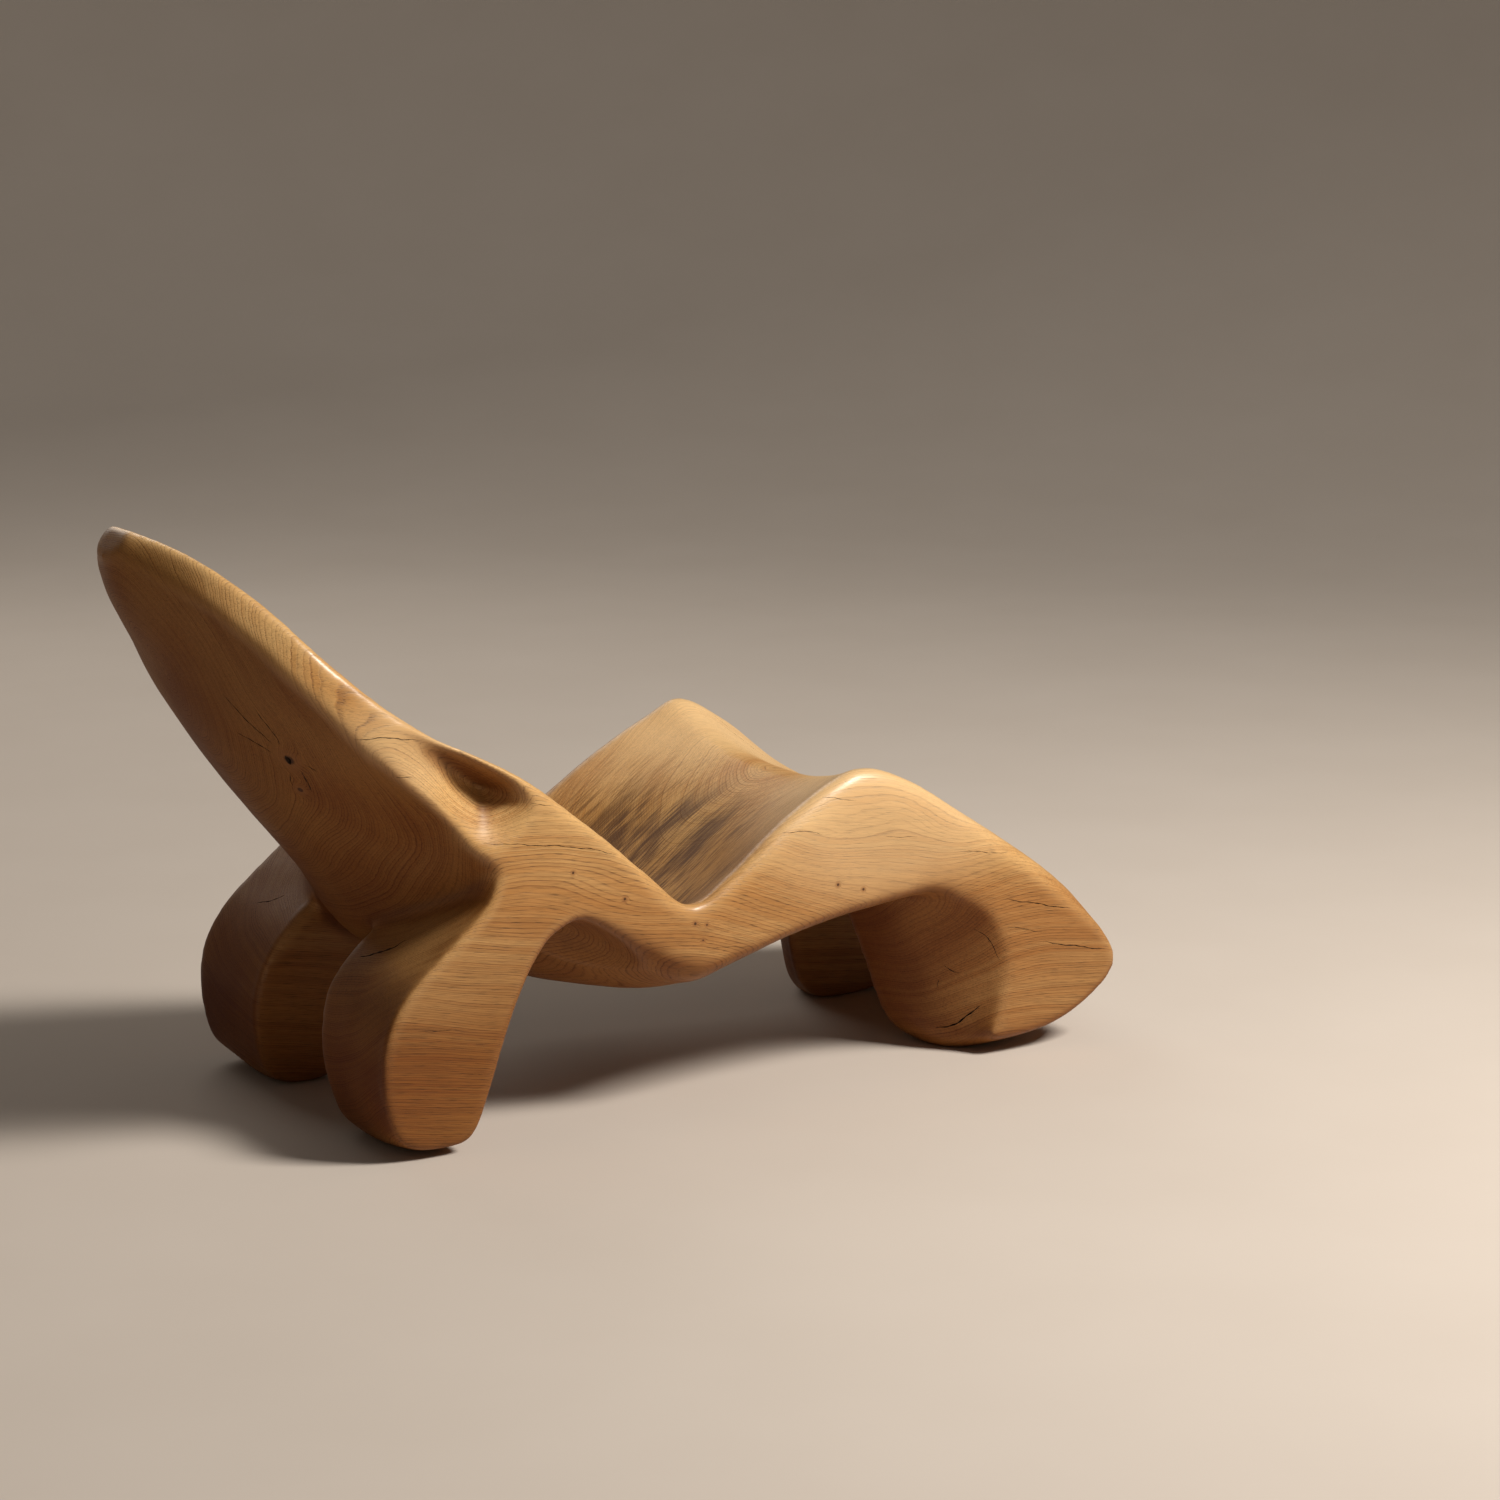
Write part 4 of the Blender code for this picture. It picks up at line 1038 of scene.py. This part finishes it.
def waxed_oak():
    """The outside of the chaise."""
    material, graph, shader = new_material("waxed_oak")
    trunk, figure = oak_figure(graph)
    colour = oak_colour(graph, figure, PALE, AMBER, LINE)
    worn, hollow_shade, across = graph.mask("worn"), graph.mask("hollow_shade"), graph.mask("across")
    stain, under, bleach_and_highlight = graph.mask("stain"), graph.mask("under"), graph.mask("bleach_and_highlight")
    colour = graph.mix(graph.math("MULTIPLY", worn, WORN_SHARE), colour, PALE)
    # painted highlight on the arms and, with some bleach, on the knee rest
    colour = graph.mix(graph.math("MULTIPLY", bleach_and_highlight, BLEACH_AND_HIGHLIGHT_SHARE), colour, CREAM)
    # painted shade: the hollows are darkened
    colour = graph.mix(graph.math("MULTIPLY", hollow_shade, HOLLOW_SHADE_SHARE), colour, HOLLOW_SHADE_TINT, "MULTIPLY")
    colour = graph.mix(across, colour, END_TINT, "MULTIPLY")
    # painted shade: undersides and legs are darkened
    colour = graph.mix(under, colour, UNDER_SHADE_TINT, "MULTIPLY")
    deep = graph.math("POWER", stain, 2.0)
    colour = graph.mix(graph.math("MULTIPLY", deep, OLIVE_SHARE), colour, OLIVE)
    patch = graph.noise(trunk["Trunk"], PATCH_STRETCH, 3.0)["Fac"]
    thread = graph.noise(trunk["Trunk"], THREAD_STRETCH, 4.0)["Fac"]
    flecks = graph.step(thread, *FLECK_EDGES, 0.0, FLECK_SHARE)
    colour = graph.mix(graph.math("MULTIPLY", graph.math("SQRT", stain), flecks), colour, FLECK)
    soaked = graph.math("MULTIPLY_ADD", thread, SOAKED_THREADS, patch)
    soaked = graph.step(soaked, *SOAKED_EDGES, 0.0, SOAKED_SHARE)
    colour = graph.mix(graph.math("MULTIPLY", deep, soaked), colour, STAIN)
    colour = graph.mix(graph.step(trunk["Knot"], *HALO_EDGES, HALO_SHARE, 0.0), colour, KNOT_HALO)
    colour = graph.mix(graph.step(trunk["Knot"], *KNOT_EDGES, KNOT_SHARE, 0.0), colour, KNOT_COLOUR)
    graph.put(shader.inputs["Base Color"], colour)
    rough = WAX_ROUGHNESS
    layers = (figure["Pores"], figure["Early"], across, stain, under, worn)
    changes = (PORES_DULL, EARLY_DULL, ACROSS_DULL, STAIN_DULL, UNDER_DULL, WORN_DULL)
    for layer, change in zip(layers, changes):
        rough = graph.math("MULTIPLY_ADD", layer, change, rough)
    graph.put(shader.inputs["Roughness"], rough)
    graph.put(shader.inputs["Coat Weight"], graph.math("MULTIPLY_ADD", worn, COAT_WORN, COAT_LEAST))
    shader.inputs["Coat Roughness"].default_value = COAT_ROUGHNESS
    shader.inputs["Specular IOR Level"].default_value = WAX_SPECULAR
    height = graph.math("MULTIPLY_ADD", figure["Early"], EARLY_DEPTH, figure["Pores"])
    put_pores(graph, shader, height, PORE_DEPTH)
    return material


def raw_oak():
    """Tenons, mortises and glue faces: planed and sawn, without wax."""
    material, graph, shader = new_material("raw_oak")
    _, figure = oak_figure(graph)
    graph.put(shader.inputs["Base Color"], oak_colour(graph, figure, RAW_PALE, RAW_AMBER, RAW_LINE))
    rough = graph.math("MULTIPLY_ADD", figure["Pores"], RAW_PORES_DULL, RAW_ROUGHNESS)
    graph.put(shader.inputs["Roughness"], rough)
    put_pores(graph, shader, figure["Pores"], RAW_PORE_DEPTH)
    return material


def check_walls():
    """The torn inside of a drying check, painted near black as the shade deep inside it."""
    material, graph, shader = new_material("check_walls")
    _, figure = oak_figure(graph)
    # painted shade: the check walls are near black
    graph.put(shader.inputs["Base Color"], graph.mix(figure["Streaks"], CHECK_SHADE_DEEP, CHECK_SHADE_SOFT))
    rough = graph.math("MULTIPLY_ADD", figure["Streaks"], TORN_DULL, TORN_ROUGHNESS)
    graph.put(shader.inputs["Roughness"], rough)
    return material


oak_materials = (waxed_oak(), raw_oak(), check_walls())
print("materials", [material.name for material in oak_materials])

# %% [markdown]
# ## Mortises and checks, cut out
#
# Each block is cut once, with a cutter that holds the tenons, a little larger than they are, and the wedges
# of the checks. The masks lie on face corners, because a Boolean carries values there on to the new faces.
# The same goes for the direction that the whole carving faced: it becomes the block's shading normals, so
# that no seam shows where two blocks meet.

# %% Cutting the blocks
MORTISE_GROWTH = 0.0004
MERGE_DISTANCE = 1e-5
SHORTEST_DIRECTION = 0.1
NEVER_ZERO = 1e-6


def walled(mesh, wall):
    """A cutter whose faces leave one kind of wall behind."""
    mesh.polygons.foreach_set("material_index", np.full(len(mesh.polygons), wall, np.int32))
    return mesh


def tenon_cutter(node):
    """A copy of a packed tenon, merged and grown by the clearance."""
    form = bmesh.new()
    form.from_mesh(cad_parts[node].data)
    bmesh.ops.remove_doubles(form, verts=form.verts, dist=MERGE_DISTANCE)
    mesh = mesh_of(form, node + " cutter")
    set_points(mesh, points_of(mesh) + MORTISE_GROWTH * normals_of(mesh))
    return walled(mesh, INSIDE)


def touch(mesh, other):
    """True where the boxes of two meshes overlap."""
    points, others = points_of(mesh), points_of(other)
    reaches_up = np.all(points.min(axis=0) < others.max(axis=0))
    return bool(reaches_up and np.all(others.min(axis=0) < points.max(axis=0)))


def cut_block(name, mesh, cutters):
    """A block with everything taken away that reaches into it."""
    used = [cutter for cutter in cutters if touch(mesh, cutter)]
    all_used = joined(used, "cutters")
    for material in oak_materials:
        mesh.materials.append(material)
        all_used.materials.append(material)
    block, cutter = scratch_object(mesh, "uncut"), scratch_object(all_used, "cutters")
    result = without(block, cutter)
    for obj in (block, cutter):
        bpy.data.objects.remove(obj)
    result.name = name
    return result, len(used)


def face_like_the_carving(mesh):
    """Shade outer faces with the carving's own normals, and cut faces flat."""
    mesh.shade_smooth()
    corner_count = read(mesh.polygons, "loop_total", 1, np.int32).ravel()
    flat = np.repeat(read(mesh.polygons, "normal", 3), corner_count, axis=0)
    kind = np.repeat(read(mesh.polygons, "material_index", 1, np.int32).ravel(), corner_count)
    outward = read(mesh.attributes["outward"].data, "vector", 3)
    length = np.linalg.norm(outward, axis=1, keepdims=True)
    outer = (kind[:, None] == OUTSIDE) & (length > SHORTEST_DIRECTION)
    directions = np.where(outer, outward / np.maximum(length, NEVER_ZERO), flat)
    mesh.normals_split_custom_set(directions.tolist())
    mesh.attributes.remove(mesh.attributes["outward"])


tenon_nodes = [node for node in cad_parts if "tenon" in node]
cutters = [tenon_cutter(node) for node in tenon_nodes]
cutters += [walled(closed_mesh([wedge], "check cutter"), CHECK_WALL) for wedge in wedges]
for name, mesh in blocks.items():
    finished, cuts = cut_block(name, mesh, cutters)
    face_like_the_carving(finished)
    piece = bpy.data.objects.new("oak_" + name, finished)
    bpy.context.scene.collection.objects.link(piece)
    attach(piece, "root")
    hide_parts(name)
    print(piece.name, "with", cuts, "cuts and", len(finished.polygons), "faces")

# %% Tenons
for node in tenon_nodes:
    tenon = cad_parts[node]
    tenon.data.materials.clear()
    tenon.data.materials.append(oak_materials[INSIDE])
print("tenons", len(tenon_nodes))

# %% [markdown]
# ## Stage
#
# The floor and the backdrop are one pale surface: flat under the chaise, then sweeping up all round, so that
# no edge shows from any side. A large lamp stands high on the right at the foot end, as in the photograph. It
# lights the flank and the seat's rise, and leaves the back's rear in shade. A weaker one opposite keeps the
# far side readable.

# %% Floor
FLAT_RADIUS, WALL_RADIUS, WALL_HEIGHT = 4.2, 11.0, 7.0
MIDDLE_RADIUS = 0.01
SWEEP_POWER = 2.5
FLAT_RINGS, SWEEP_RINGS, FLOOR_POINTS = 8, 40, 96
FLOOR_COLOUR, FLOOR_SHADE = (0.600, 0.525, 0.455), (0.560, 0.485, 0.415)
FLOOR_STRETCH = (3, 3, 3)
FLOOR_ROUGHNESS, FLOOR_SPECULAR = 0.9, 0.15


def floor_surface():
    """Rings round the middle: flat up to one radius, then height * t^power up to the wall's radius."""
    t = np.linspace(0, 1, SWEEP_RINGS)[:, None]
    flat = np.linspace(MIDDLE_RADIUS, FLAT_RADIUS, FLAT_RINGS)[:-1, None]
    radius = np.concatenate([flat, FLAT_RADIUS + (WALL_RADIUS - FLAT_RADIUS) * t])
    rise = WALL_HEIGHT * np.clip((radius - FLAT_RADIUS) / (WALL_RADIUS - FLAT_RADIUS), 0, 1) ** SWEEP_POWER
    turn = np.linspace(0, 2 * np.pi, FLOOR_POINTS, endpoint=False)[None, :]
    return np.stack(np.broadcast_arrays(radius * np.cos(turn), radius * np.sin(turn), rise), axis=-1)


floor_grid = floor_surface()
floor_faces = ring_faces(*floor_grid.shape[:2])[:-1]
floor_mesh = bpy.data.meshes.new("floor")
floor_mesh.from_pydata(floor_grid.reshape(-1, 3).tolist(), [], floor_faces)
floor_mesh.shade_smooth()
floor_paint, graph, shader = new_material("floor_paint")
place = graph.node("ShaderNodeTexCoord").outputs["Object"]
mottle = graph.noise(place, FLOOR_STRETCH, 4.0)["Fac"]
graph.put(shader.inputs["Base Color"], graph.mix(mottle, FLOOR_COLOUR, FLOOR_SHADE))
shader.inputs["Roughness"].default_value = FLOOR_ROUGHNESS
shader.inputs["Specular IOR Level"].default_value = FLOOR_SPECULAR
floor_mesh.materials.append(floor_paint)
floor = scratch_object(floor_mesh, "floor")
print("floor", len(floor_mesh.polygons), "faces")

# %% Light
# name, place, power in watts, size in metres
LAMPS = (
    ("key", (2.2, -2.7, 3.7), 305.0, 1.3),
    ("fill", (0.2, 3.8, 3.0), 45.0, 3.0),
)
LAMP_COLOUR = (1.0, 0.965, 0.915)
LIT_POINT = Vector((0.0, 0.0, 0.3))
WORLD_STRENGTH = 0.08

for name, place, power, size in LAMPS:
    light = bpy.data.lights.new(name, "AREA")
    light.energy = power
    light.color = LAMP_COLOUR
    light.size = size
    lamp = scratch_object(light, name)
    lamp.location = place
    lamp.rotation_euler = (Vector(place) - LIT_POINT).to_track_quat("Z", "Y").to_euler()
world = bpy.data.worlds.new("studio")
bpy.context.scene.world = world
world.use_nodes = True
world.node_tree.nodes["Background"].inputs["Color"].default_value = (*LAMP_COLOUR, 1.0)
world.node_tree.nodes["Background"].inputs["Strength"].default_value = WORLD_STRENGTH
print("lamps", [name for name, *_ in LAMPS])

# %% [markdown]
# ## Camera
#
# The photograph was taken from the right, behind the chaise and a little above. The angles come from fitting
# a camera to the feet and the ridges.

# %% Camera
CAMERA_AZIMUTH = np.radians(-31.544)
CAMERA_ELEVATION = np.radians(11.554)
CAMERA_DISTANCE = 5.5
CAMERA_TARGET = Vector((0.2546, 0.0, 0.4123))
CAMERA_LENS = 95.04
SENSOR_WIDTH = 36.0

camera = bpy.data.cameras.new("camera")
camera.lens = CAMERA_LENS
camera.sensor_width = SENSOR_WIDTH
viewer = scratch_object(camera, "camera")
level = np.cos(CAMERA_ELEVATION)
away = Vector((np.sin(CAMERA_AZIMUTH) * level, -np.cos(CAMERA_AZIMUTH) * level, np.sin(CAMERA_ELEVATION)))
viewer.location = CAMERA_TARGET + away * CAMERA_DISTANCE
viewer.rotation_euler = away.to_track_quat("Z", "Y").to_euler()
bpy.context.scene.camera = viewer
bpy.context.scene.view_settings.view_transform = "Standard"
print("camera at", [round(v, 3) for v in viewer.location])
